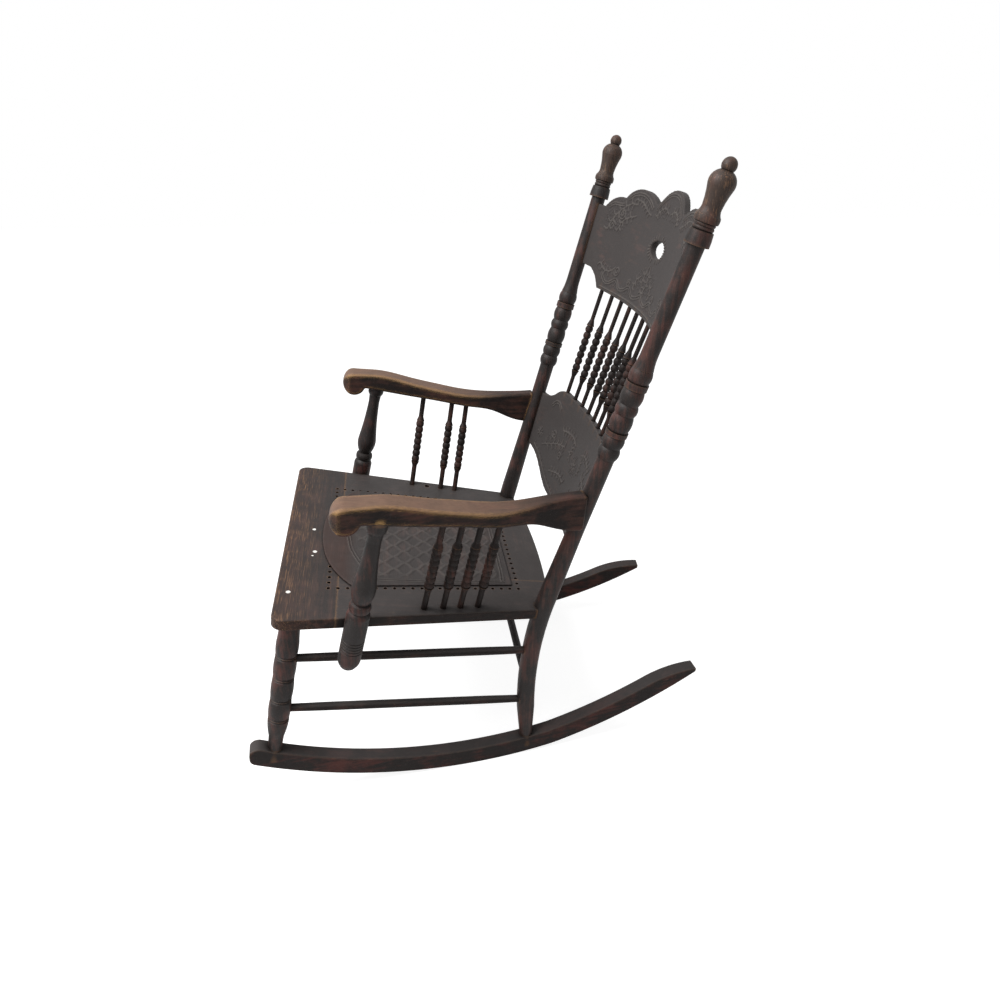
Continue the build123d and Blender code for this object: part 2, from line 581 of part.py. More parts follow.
def panel_outline():
    """The lower panel's outline: level above, narrow ends at the posts, a hanging belly below."""
    top_end = (PANEL_TOP_X, PANEL_TOP)
    knuckle = (PANEL_TOP_X + PANEL_SHOULDER[0], PANEL_TOP - PANEL_SHOULDER[1])
    scoop_end = (knuckle[0] + PANEL_SCOOP[0], knuckle[1] - PANEL_SCOOP[1])
    bottom = scoop_end[1] - PANEL_END_HEIGHT
    end_top = (post_x(scoop_end[1]) - BACK_TENON_SHORT, scoop_end[1])
    end_low = (post_x(bottom) - BACK_TENON_SHORT, bottom)
    hip_start = (end_low[0] - PANEL_END_FLAT, bottom)
    hips = [(x, bottom - fall) for x, fall in PANEL_HIP]
    belly = (PANEL_BELLY[0], bottom - PANEL_BELLY[1])
    with BuildSketch() as outline:
        with BuildLine():
            Line((0, PANEL_TOP), top_end)
            SagittaArc(top_end, knuckle, PANEL_SHOULDER_SWELL)
            SagittaArc(knuckle, scoop_end, -PANEL_SCOOP_HOLLOW)
            Polyline(scoop_end, end_top, end_low, hip_start)
            Spline(hip_start, *hips, belly)
            TangentArc((0, bottom - PANEL_BELLY_FALL), belly, tangent=(1, 0))
            mirror(about=Plane.YZ)
        make_face()
    return outline.sketch


def make_back_spindle(place):
    """A back spindle, its place counted from the middle of the back."""
    low = back_point(place * SPINDLE_PITCH_BOTTOM, PANEL_TOP, PANEL_BOW, PANEL_THICKNESS)
    high = back_point(place * SPINDLE_PITCH_TOP, CREST_SKIRT, CREST_BOW, CREST_THICKNESS)
    return spindle(low, high, SPINDLE_SOCKET, SPINDLE_ROD_RADIUS, SPINDLE_BEAD_RADIUS, SPINDLE_GROOVE_RADIUS,
                   SPINDLE_BEADS, SPINDLE_BEAD_PITCH, SPINDLE_FLARE, SPINDLE_ROW_DROP)


# ---- seat -----------------------------------------------------------------------------------------
def make_seat_blank():
    """The whole seat as glued up, before the rails part it."""
    left, right = (SEAT_HALF_BACK, SEAT_BACK_CORNER), (-SEAT_HALF_BACK, SEAT_BACK_CORNER)
    with BuildPart() as blank:
        with BuildSketch(SEAT) as outline:
            with BuildLine():
                Polyline(right, (-SEAT_HALF_FRONT, SEAT_FRONT), (SEAT_HALF_FRONT, SEAT_FRONT), left)
                ThreePointArc(left, (0, SEAT_BACK), right)
            make_face()
            fillet(outline.vertices().group_by(Axis.Y)[0], SEAT_CORNER_ROUND)
            fillet(outline.vertices().group_by(Axis.Y)[-1], SEAT_BACK_ROUND)
        extrude(amount=-SEAT_THICKNESS)
        fillet(blank.faces().sort_by(SEAT_AXIS)[-1].edges(), SEAT_TOP_ROUND)
        fillet(blank.faces().sort_by(SEAT_AXIS)[0].edges(), SEAT_BOTTOM_ROUND)
    return blank.part


def stretch_of_seat(corners):
    """A block through the seat over these corners."""
    with BuildPart() as stretch:
        with BuildSketch(SEAT.offset(SEAT_THICKNESS)):
            Polygon(*corners, align=None)
        extrude(amount=-3 * SEAT_THICKNESS)
    return stretch.part


def cane_hole_places():
    """Centres of the cane holes, in a ring around the opening."""
    front, back = SEAT_JOINT - CANE_ROW_INSET, OPENING_BACK + CANE_ROW_INSET
    rows = round((back - front) / CANE_HOLE_PITCH)
    places = []
    for row in range(rows + 1):
        y = front + (back - front) * row / rows
        half = CANE_HALF_FRONT + (CANE_HALF_BACK - CANE_HALF_FRONT) * row / rows
        columns = round(2 * half / CANE_HOLE_PITCH) if row in (0, rows) else 1
        places += [(-half + 2 * half * column / columns, y) for column in range(columns + 1)]
    return places


def make_cane_drills():
    """The drills that make the cane holes."""
    with BuildPart() as drills:
        with BuildSketch(SEAT.offset(SEAT_THICKNESS)):
            with Locations(*cane_hole_places()):
                Circle(CANE_HOLE_RADIUS)
        extrude(amount=-3 * SEAT_THICKNESS)
    return drills.part


def make_rail(corners, cutters):
    """One rail of the seat, cut from the blank over its corners."""
    with BuildPart() as rail:
        add(seat_blank)
        add(stretch_of_seat(corners), mode=Mode.INTERSECT)
        add(cane_drills, mode=Mode.SUBTRACT)
        for cutter in cutters:
            add(cutter, mode=Mode.SUBTRACT)
    return rail.part


def make_seat_panel():
    """The pressed panel that closes the opening."""
    back_x, back_y = SEAT_PANEL_BACK
    shoulder_x, shoulder_y = SEAT_PANEL_SHOULDER
    cheek_x, cheek_y = SEAT_PANEL_CHEEK
    left, right = (shoulder_x, shoulder_y), (-shoulder_x, shoulder_y)
    with BuildPart() as panel:
        with BuildSketch(SEAT):
            with BuildLine():
                Polyline(left, (back_x, back_y), (-back_x, back_y), right)
                Spline(right, (-cheek_x, cheek_y), (0, SEAT_PANEL_FRONT), (cheek_x, cheek_y), left)
            make_face()
        extrude(amount=SEAT_PANEL_THICKNESS)
        chamfer(panel.faces().sort_by(SEAT_AXIS)[-1].edges(), SEAT_PANEL_THICKNESS / 3)
    return panel.part


# ---- arms and what carries them -------------------------------------------------------------------
def arm_side_view():
    """The arm from the side: a scroll, a long waist and a tall blade at the back post."""
    centre = (ARM_SCROLL_Y, ARM_Z + ARM_SCROLL_RISE)
    top_line = [(y, ARM_Z + rise) for y, rise in ARM_TOP_LINE]
    under_line = [(y, ARM_Z + rise) for y, rise in ARM_UNDER_LINE]
    crown = (centre[0], centre[1] + ARM_SCROLL_RADIUS)
    drop = sqrt(ARM_SCROLL_RADIUS ** 2 - (ARM_SCROLL_THROAT - centre[0]) ** 2)
    throat = (ARM_SCROLL_THROAT, centre[1] - drop)
    with BuildSketch() as view:
        with BuildLine():
            Spline(crown, *top_line, tangents=((1, 0), (1, ARM_TOP_END_SLOPE)))
            Line(top_line[-1], under_line[0])
            Spline(*under_line, throat)
            ThreePointArc(throat, (centre[0] - ARM_SCROLL_RADIUS, centre[1]), crown)
        make_face()
    return view.sketch


def arm_plan():
    """The arm from above: wide in front, narrowing and turning in to the back post."""
    outer = [(x, y) for y, x in ARM_OUTER_LINE]
    inner = [(x, y) for y, x in ARM_INNER_LINE]
    nose = ARM_SCROLL_Y - ARM_SCROLL_RADIUS
    with BuildSketch() as plan:
        with BuildLine():
            Spline(*outer)
            Line(outer[-1], inner[0])
            Spline(*inner)
            ThreePointArc(inner[-1], ((inner[-1][0] + outer[0][0]) / 2, nose - ARM_NOSE_BOW), outer[0])
        make_face()
    return plan.sketch


def make_arm():
    """The left arm, sawn to its side view and to its plan, its edges rounded."""
    with BuildPart() as arm:
        with BuildSketch(SIDE):
            add(arm_side_view())
        extrude(amount=2 * SEAT_HALF_FRONT)
        with BuildSketch(Plane.XY):
            add(arm_plan())
        extrude(amount=COLLAR_Z, mode=Mode.INTERSECT)
        fillet(arm.edges().filter_by(lambda edge: edge.length > ARM_ROUND_FROM), ARM_ROUND)
    return arm.part


ARM_POST_X = seat_edge(ARM_POST_SEAT_Y) + ARM_POST_RADIUS - ARM_POST_NOTCH
ARM_POST_FOOT = seat_point(ARM_POST_X, ARM_POST_SEAT_Y)
ARM_POST_ARM_Z = ARM_Z + line_at(ARM_UNDER_LINE, ARM_POST_ARM_Y)
ARM_POST_HEAD = Vector(ARM_POST_X + ARM_POST_ARM_OUT, ARM_POST_ARM_Y, ARM_POST_ARM_Z)
ARM_POST_DIR = (ARM_POST_HEAD - ARM_POST_FOOT).normalized()


def arm_post_foot(seat):
    """Stations of the arm post's rounded foot and of its grooves beside the seat."""
    stations = [(0, ARM_POST_TIP_RADIUS, 0), (ARM_POST_TOE_RISE, ARM_POST_TOE_RADIUS, ARM_POST_TOE_SWELL)]
    stations += [(ARM_POST_FOOT_RISE, ARM_POST_RADIUS, ARM_POST_FOOT_SWELL)]
    for number in range(ARM_POST_GROOVES):
        groove = seat - ARM_POST_GROOVE_FALL + number * ARM_POST_GROOVE_PITCH
        stations += [(groove - ARM_POST_GROOVE_HALF, ARM_POST_RADIUS, 0),
                     (groove, ARM_POST_RADIUS - ARM_POST_GROOVE_CUT, 0),
                     (groove + ARM_POST_GROOVE_HALF, ARM_POST_RADIUS, 0)]
    return stations


def arm_post_turning(seat):
    """Stations of the arm post's throat, ring and waist above the seat."""
    ring_low, ring_high = ARM_POST_RING_RISES
    return [(seat + ARM_POST_SHOULDER_RISE, ARM_POST_RADIUS, 0),
            (seat + ARM_POST_THROAT_RISE, ARM_POST_THROAT_RADIUS, ARM_POST_THROAT_SWELL),
            (seat + ring_low, ARM_POST_RING_RADIUS, 0),
            (seat + ring_high, ARM_POST_RING_RADIUS, ARM_POST_RING_SWELL),
            (seat + ARM_POST_WAIST_RISE, ARM_POST_WAIST_RADIUS, 0),
            (seat + ARM_POST_BELLY_RISE, ARM_POST_BELLY_RADIUS, ARM_POST_BELLY_SWELL)]


def make_arm_post():
    """The left arm post's turning, from its rounded end below the seat into the arm."""
    length = ARM_POST_DROP + (ARM_POST_HEAD - ARM_POST_FOOT).length
    cap = length - ARM_POST_CAP_HEIGHT
    stations = arm_post_foot(ARM_POST_DROP) + arm_post_turning(ARM_POST_DROP)
    stations += [(cap - ARM_POST_NECK_LENGTH, ARM_POST_NECK_RADIUS, -ARM_POST_NECK_HOLLOW)]
    stations += [(cap, ARM_POST_NECK_RADIUS + ARM_POST_NECK_FLARE, 0)]
    stations += [(cap + ARM_POST_CAP_ROUND, ARM_POST_CAP_RADIUS, ARM_POST_CAP_SWELL)]
    stations += [(length + TOP_TENON_LENGTH / 2, ARM_POST_CAP_RADIUS, 0)]
    return turned(ARM_POST_FOOT - ARM_POST_DIR * ARM_POST_DROP, ARM_POST_HEAD, stations)


def make_arm_spindle(at_seat, at_arm):
    """A spindle between the left seat rail and the left arm."""
    low = seat_point(seat_edge(at_seat) - ARM_SPINDLE_INSET, at_seat)
    inner, outer = line_at(ARM_INNER_LINE, at_arm), line_at(ARM_OUTER_LINE, at_arm)
    high = Vector((inner + outer) / 2, at_arm, ARM_Z + line_at(ARM_UNDER_LINE, at_arm))
    return spindle(low, high, ARM_SPINDLE_SOCKET, ARM_SPINDLE_ROD_RADIUS, ARM_SPINDLE_BEAD_RADIUS,
                   ARM_SPINDLE_GROOVE_RADIUS, ARM_SPINDLE_BEADS, ARM_SPINDLE_BEAD_PITCH, ARM_SPINDLE_FLARE,
                   ARM_SPINDLE_ROW_DROP)


# ---- rungs ----------------------------------------------------------------------------------------
def make_rung(start, end):
    """A rung with tapered ends, each stopping just short of its leg's axis."""
    along = (end - start).normalized()
    foot, head = start + along * RUNG_SHORT, end - along * RUNG_SHORT
    length = (head - foot).length
    stations = [(0, RUNG_END_RADIUS, 0), (length / 3, RUNG_RADIUS, RUNG_SWELL)]
    stations += [(2 * length / 3, RUNG_RADIUS, 0), (length, RUNG_END_RADIUS, RUNG_SWELL)]
    return turned(foot, head, stations)


# ---- the pieces as turned and sawn ------------------------------------------------------------------
rocker_blank = make_rocker()
leg_blank = make_front_leg()
post_blank = make_back_post()
crest_blank = bowed_board(crest_outline(), CREST_BOW, CREST_THICKNESS)
panel_blank = bowed_board(panel_outline(), PANEL_BOW, PANEL_THICKNESS)
seat_blank = make_seat_blank()
cane_drills = make_cane_drills()
arm_blank = make_arm()
arm_post_blank = make_arm_post()
middle = (SPINDLE_COUNT - 1) / 2
back_spindles = [make_back_spindle(number - middle) for number in range(SPINDLE_COUNT)]
arm_spindles = [make_arm_spindle(*ends) for ends in zip(ARM_SPINDLES_AT_SEAT, ARM_SPINDLES_AT_ARM)]
side_rungs = [make_rung(on_front_leg(front), on_back_post(back))
              for front, back in zip(SIDE_RUNGS_AT_LEG, SIDE_RUNGS_AT_POST)]
front_rungs = [make_rung(on_front_leg(rise), right_of(on_front_leg(rise))) for rise in FRONT_RUNGS_AT_LEG]
back_rung = make_rung(on_back_post(BACK_RUNG_AT_POST), right_of(on_back_post(BACK_RUNG_AT_POST)))


def tenon(start, along, radius, length):
    """A tenon that starts inside its own piece."""
    return plain_rod(start - along * FOOT_SUNK, start + along * length, radius)


front_foot_tenon = tenon(FRONT_FOOT, -FRONT_LEG_DIR, FOOT_TENON_RADIUS, FOOT_TENON_LENGTH)
back_foot_tenon = tenon(BACK_FOOT, -BACK_LEG_DIR, FOOT_TENON_RADIUS, FOOT_TENON_LENGTH)
leg_top_tenon = tenon(FRONT_LEG_TOP, FRONT_LEG_DIR, TOP_TENON_RADIUS, TOP_TENON_LENGTH)
arm_tenon = tenon(ARM_POST_HEAD, ARM_POST_DIR, TOP_TENON_RADIUS, TOP_TENON_LENGTH)

# ---- the pieces as fitted to each other -------------------------------------------------------------
rocker = fitted(rocker_blank, [front_foot_tenon, back_foot_tenon])
front_leg = fitted(leg_blank, [rocker_blank, seat_blank, *side_rungs, *front_rungs],
                   [front_foot_tenon, leg_top_tenon])
back_post = fitted(post_blank, [rocker_blank, crest_blank, panel_blank, back_rung, *side_rungs],
                   [back_foot_tenon])
arm = fitted(arm_blank, [post_blank, arm_tenon, *arm_spindles])
arm_post = fitted(arm_post_blank, [arm_blank], [arm_tenon])
edge = SEAT_HALF_FRONT + SEAT_THICKNESS
front, back = SEAT_FRONT - SEAT_THICKNESS, SEAT_BACK + SEAT_THICKNESS
front_inner, back_inner = (OPENING_HALF, SEAT_JOINT), (OPENING_HALF, back)
side_corners = [front_inner, (edge, SEAT_JOINT), (edge, back), back_inner]
back_corners = [(OPENING_HALF, OPENING_BACK), back_inner]
back_corners += [(-x, y) for x, y in reversed(back_corners)]
front_corners = [(-edge, front), (edge, front), (edge, SEAT_JOINT), (-edge, SEAT_JOINT)]
side_rail = make_rail(side_corners, [arm_post_blank, post_blank, *arm_spindles])

pieces = {
    "left_rocker": rocker,
    "left_front_leg": front_leg,
    "left_back_post": back_post,
    "left_arm": arm,
    "left_arm_post": arm_post,
    "left_seat_rail": side_rail,
    "left_upper_side_rung": side_rungs[0],
    "left_lower_side_rung": side_rungs[1],
}
for number, arm_spindle in enumerate(arm_spindles, 1):
    pieces[f"left_arm_spindle_{number}"] = arm_spindle
for name, piece in list(pieces.items()):
    if name != f"left_arm_spindle_{LOST_SPINDLE}":
        pieces[name.replace("left", "right")] = right_hand(piece)
for number, back_spindle in enumerate(back_spindles, 1):
    pieces[f"back_spindle_{number}"] = back_spindle
pieces["crest_rail"] = fitted(crest_blank, back_spindles)
pieces["lower_back_panel"] = fitted(panel_blank, back_spindles)
pieces["seat_front_rail"] = make_rail(front_corners, [leg_top_tenon, right_hand(leg_top_tenon)])
pieces["seat_back_rail"] = make_rail(back_corners, [])
pieces["pressed_seat_panel"] = make_seat_panel()
pieces["front_upper_rung"], pieces["front_lower_rung"] = front_rungs
pieces["rear_rung"] = back_rung

# ---- the chair rolled back to its balance -----------------------------------------------------------
weight = sum(piece.volume for piece in pieces.values())
balance = sum((piece.center(CenterOf.MASS) * (piece.volume / weight) for piece in pieces.values()), Vector())
roll_y, roll_z = ROCKER_ARC * cos(SPLAY), ROCKER_RADIUS * cos(SPLAY) ** 2
roll_back = degrees(atan2(balance.Y - roll_y, roll_z - balance.Z))
rocker_axis = Axis((0, roll_y, roll_z), (1, 0, 0))
settled = {name: piece.rotate(rocker_axis, -roll_back) for name, piece in pieces.items()}
boxes = [piece.bounding_box() for piece in settled.values()]
middle_y = (min(box.min.Y for box in boxes) + max(box.max.Y for box in boxes)) / 2
floor_z = min(box.min.Z for box in boxes)

os.makedirs("parts", exist_ok=True)
for name, piece in settled.items():
    with BuildPart() as finished:
        add(piece.moved(Location((0, -middle_y, -floor_z))))
    finished.part.label = name
    export_step(finished.part, f"parts/{name}.step")
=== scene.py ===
from math import cos, pi, radians, sin

import bmesh
import bpy
import numpy as np
from bpy.props import FloatProperty, FloatVectorProperty, PointerProperty
from mathutils import Matrix, Vector


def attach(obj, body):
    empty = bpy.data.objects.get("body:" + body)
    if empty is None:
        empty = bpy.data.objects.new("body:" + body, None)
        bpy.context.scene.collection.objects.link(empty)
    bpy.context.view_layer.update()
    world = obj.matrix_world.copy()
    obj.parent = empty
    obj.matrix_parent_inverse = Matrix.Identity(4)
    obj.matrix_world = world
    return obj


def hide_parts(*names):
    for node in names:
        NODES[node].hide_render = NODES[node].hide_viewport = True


bl_info = {
    "name": "Pressed-back rocking chair",
    "version": (1, 0, 0),
    "blender": (4, 5, 0),
    "location": "View3D > Sidebar > Rocking chair",
    "description": "Finishes, pressed ornament and a studio for a pressed-back rocking chair",
    "category": "Object",
}

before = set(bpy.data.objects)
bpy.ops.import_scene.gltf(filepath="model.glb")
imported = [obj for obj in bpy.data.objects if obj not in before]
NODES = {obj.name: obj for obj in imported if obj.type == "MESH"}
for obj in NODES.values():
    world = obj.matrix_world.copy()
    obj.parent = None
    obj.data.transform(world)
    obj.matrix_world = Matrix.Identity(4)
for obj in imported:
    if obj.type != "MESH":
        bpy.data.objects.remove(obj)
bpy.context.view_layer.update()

# The two planes that the ornament is drawn on: an origin on the chair's middle, and how far each leans.
BACK_ORIGIN = Vector((0.0, 0.26855, 0.90972))
BACK_LEAN = radians(15.904)
SEAT_ORIGIN = Vector((0.0, -0.10861, 0.35134))
SEAT_SLOPE = radians(8.534)

# Both boards of the back bow to one radius; a bow is how far the board's middle lies behind the plane.
BOW_RADIUS = 0.545
CREST_BOW = 0.0485
PANEL_BOW = 0.042
SEAT_PANEL_THICKNESS = 0.003

# Where the camera stands, where it looks, where its right side points, and its lens and sensor in mm.
CAMERA_PLACE = Vector((1.1714, -0.12723, 1.07910))
CAMERA_LOOK = Vector((-0.86343, 0.13412, -0.48631))
CAMERA_RIGHT = Vector((0.14788, 0.98895, 0.01019))
CAMERA_LENS = 26.46
CAMERA_SENSOR = 36.0

# Both lamps aim at the chair's middle. The key lamp hangs above, the fill lamp beside the camera.
LAMP_AIM = Vector((0, 0, 0.5))
KEY_PLACE = Vector((0.4, -1.4, 2.4))
KEY_WIDTH = 1.5
FILL_PLACE = Vector((2.4, -1.2, 1.5))
FILL_WIDTH = 1.6

# Half the floor's width, and the floor as it is seen: a grey that takes the shadow and a glow that lifts
# it to white.
FLOOR_HALF = 6.0
FLOOR_GREY = 0.46
FLOOR_GLOW = 0.86


# ---- settings ------------------------------------------------------------------------------------------
def colour(name, description, default):
    """A colour setting."""
    return FloatVectorProperty(name=name, description=description, subtype="COLOR", size=3, min=0, max=1,
                               default=default)


def share(name, description, default):
    """A setting from nothing to full."""
    return FloatProperty(name=name, description=description, subtype="FACTOR", min=0, max=1, default=default)


def length(name, description, default):
    """A length in metres."""
    return FloatProperty(name=name, description=description, subtype="DISTANCE", unit="LENGTH", min=0,
                         default=default)


def power(name, description, default):
    """A lamp's power in watts."""
    return FloatProperty(name=name, description=description, unit="POWER", min=0, default=default)


class ChairFinish(bpy.types.PropertyGroup):
    """Colours and wear of the old varnish."""

    varnish: colour("Varnish", "Nearly black old varnish", (0.010, 0.0072, 0.0066))
    brown: colour("Brown", "Varnish worn thin", (0.046, 0.0225, 0.0175))
    red: colour("Red", "Red stain that shows under the varnish", (0.066, 0.0165, 0.0135))
    bare: colour("Bare wood", "Wood rubbed bare on edges and rounds", (0.28, 0.155, 0.085))
    gold: colour("Gold", "Bare golden grain", (0.44, 0.26, 0.10))
    tan: colour("Tan", "Wood that hands have rubbed smooth", (0.215, 0.130, 0.090))
    # Grey of dusty patches, also used for the painted sheen on upper sides.
    dust_and_painted_sheen: colour("Dust", "Grey specks, and bloom on upper sides and pressed boards", (0.086, 0.078, 0.076))
    # Near black painted shade for grooves and corners.
    painted_hollow_shade: colour("Dirt", "Dirt packed into grooves and corners", (0.005, 0.0038, 0.0034))
    pressed: colour("Pressed lines", "Rubbed crests of the pressed ornament", (0.102, 0.091, 0.083))
    paint: colour("Paint specks", "Old paint spilt on the seat", (0.74, 0.72, 0.68))
    gloss: share("Gloss", "How much of a sheen the varnish has kept", 0.5)
    wear: share("Wear", "How far edges and rounds are rubbed through", 0.6)


class ChairOrnament(bpy.types.PropertyGroup):
    """Sizes of the pressed ornament."""

    grid: length("Grid", "Spacing of the fine mesh that carries the ornament", 0.00125)
    relief: length("Relief", "Height of the pressed lines", 0.0015)
    line: length("Line", "Half width of a pressed line", 0.0015)
    pebble: length("Pebble", "Radius of a pebble in the stippled grounds", 0.0019)
    lattice_line: length("Lattice line", "Half width of the lattice's ridges", 0.0040)
    lattice_pitch: length("Lattice pitch", "Spacing of the lattice on the seat", 0.037)
    lattice_wave: length("Lattice wave", "How far the lattice's lines swing", 0.0016)


class ChairStudio(bpy.types.PropertyGroup):
    """Light and floor."""

    floor: colour("Floor", "Colour of the floor where it throws light back", (0.86, 0.86, 0.86))
    key: power("Key", "Power of the large lamp above", 92.0)
    fill: power("Fill", "Power of the lamp beside the camera", 7.0)
    sky: FloatProperty(name="Sky", description="Strength of the even light from all around", min=0,
                       default=0.31)


class ChairSettings(bpy.types.PropertyGroup):
    """Everything that a user would change."""

    finish: PointerProperty(type=ChairFinish)
    ornament: PointerProperty(type=ChairOrnament)
    studio: PointerProperty(type=ChairStudio)


def chair_settings():
    """The settings that this scene holds."""
    return bpy.context.scene.rocking_chair


# ---- shader maths --------------------------------------------------------------------------------------
SHELTER_SAMPLES = 6


def rgba(tone):
    """A colour as the four numbers that sockets take."""
    return (tone[0], tone[1], tone[2], 1.0)


def grey(level):
    """A grey, or white at 1."""
    return rgba([level] * 3)


class Wire:
    """A number, vector or colour on its way through a material; arithmetic on it adds Math nodes."""

    def __init__(self, shop, socket):
        self.shop = shop
        self.socket = socket

    def maths(self, operation, first, second):
        """One step of arithmetic."""
        return self.shop.add("ShaderNodeMath", {"operation": operation}, {0: first, 1: second})

    def __add__(self, other):
        return self.maths("ADD", self, other)

    __radd__ = __add__

    def __mul__(self, other):
        return self.maths("MULTIPLY", self, other)

    __rmul__ = __mul__

    def __sub__(self, other):
        return self.maths("SUBTRACT", self, other)

    def __rsub__(self, other):
        return self.maths("SUBTRACT", other, self)


class Workshop:
    """One material, or the world, being made up."""

    def __init__(self, owner):
        self.owner = owner
        owner.use_nodes = True
        self.tree = owner.node_tree
        self.tree.nodes.clear()

    def add(self, kind, settings=None, inputs=None, output=0):
        """Add a node with its settings and inputs, and give back one of its outputs."""
        node = self.tree.nodes.new(kind)
        for name, value in (settings or {}).items():
            setattr(node, name, value)
        for key, value in (inputs or {}).items():
            if isinstance(value, Wire):
                self.tree.links.new(value.socket, node.inputs[key])
            else:
                node.inputs[key].default_value = value
        return Wire(self, node.outputs[output]) if len(node.outputs) else None

    def mix(self, amount, first, second):
        """Blend two colours, each of them written out or on a wire."""
        first, second = (tone if isinstance(tone, Wire) else rgba(tone) for tone in (first, second))
        return self.add("ShaderNodeMix", {"data_type": "RGBA"}, {0: amount, 6: first, 7: second}, 2)

    def noise(self, where, scale, detail, roughness):
        """Uneven marks; scale is about how many of them lie along a metre."""
        return self.add("ShaderNodeTexNoise", None,
                        {"Vector": where, "Scale": scale, "Detail": detail, "Roughness": roughness})

    def step(self, value, low, high, sooner=0.0):
        """0 below low, 1 above high, eased between; sooner brings both down."""
        return self.add("ShaderNodeMapRange", {"interpolation_type": "SMOOTHSTEP"},
                        {"Value": value, "From Min": low - sooner, "From Max": high - sooner})

    def stretched(self, where, factors):
        """Places multiplied along each axis."""
        return self.add("ShaderNodeVectorMath", {"operation": "MULTIPLY"}, {0: where, 1: factors})

    def distance(self, where, spot):
        """How far each place lies from a spot."""
        return self.add("ShaderNodeVectorMath", {"operation": "DISTANCE"}, {0: where, 1: spot}, "Value")

    def split(self, where, axis):
        """One axis of a vector."""
        return self.add("ShaderNodeSeparateXYZ", None, {0: where}, "XYZ".index(axis))

    def place(self):
        """Where each point lies, in metres."""
        return self.add("ShaderNodeTexCoord", output="Object")

    def upward(self):
        """1 where the surface faces up, 0 where it is upright, -1 underneath."""
        return self.split(self.add("ShaderNodeNewGeometry", output="Normal"), "Z")

    def shelter(self, reach, inside=False):
        """1 in the open, 0 where surfaces within reach close in, seen from outside or inside."""
        settings = {"samples": SHELTER_SAMPLES, "inside": inside}
        return self.add("ShaderNodeAmbientOcclusion", settings, {"Distance": reach}, "AO")

    def rounds(self, reach):
        """0 on flats, towards 1 on edges and small rounds."""
        return 1.0 - self.shelter(reach, inside=True)

    def seen_directly(self):
        """1 for what the camera sees, also in a mirror or through glass."""
        kinds = ("Is Camera Ray", "Is Glossy Ray", "Is Transmission Ray")
        camera, mirror, glass = (self.add("ShaderNodeLightPath", output=kind) for kind in kinds)
        return self.step(camera + mirror + glass, 0.0, 1.0)

    def close(self, base, rough, normal, sheen):
        """End a material with one surface."""
        inputs = {"Base Color": base, "Roughness": rough, "Normal": normal, "Specular IOR Level": sheen}
        shader = self.add("ShaderNodeBsdfPrincipled", None, inputs)
        self.add("ShaderNodeOutputMaterial", None, {"Surface": shader})
        return self.owner

    def close_twofold(self, kind, lighting, seen):
        """End with one shader for the light given off and another for what is seen directly."""
        mixed = self.add("ShaderNodeMixShader", None, {0: self.seen_directly(), 1: lighting, 2: seen})
        self.add(kind, None, {"Surface": mixed})
        return self.owner


# ---- finishes ------------------------------------------------------------------------------------------
# About how many marks of each kind lie along a metre, and how far the grain draws them out.
FIBRES = 620.0
STREAKS = 150.0
PATCHES = 17.0
BLOTCHES = 55.0
GRIT = 900.0
ALONG_GRAIN = 0.045

BUMP_STRENGTH = 0.8
BUMP_DEPTH = 0.0006

# Where wear sets in and is full or has ended, in metres along an axis of the chair.
FINIAL_BAND = (0.925, 0.955)
ARM_REST_BAND = (-0.06, 0.14)
ARM_FRONT_BAND = (-0.02, 0.10)
SEAT_FRONT_BAND = (-0.335, -0.250)
SEAT_PANEL_BAND = (-0.232, -0.205)

# Specks of paint on the seat's front rail: across, to the back on the seat's plane, and radius.
PAINT_SPECKS = ((0.065, -0.173, 0.0042), (-0.009, -0.179, 0.0032), (0.186, -0.206, 0.0040),
                (0.078, -0.176, 0.0018))


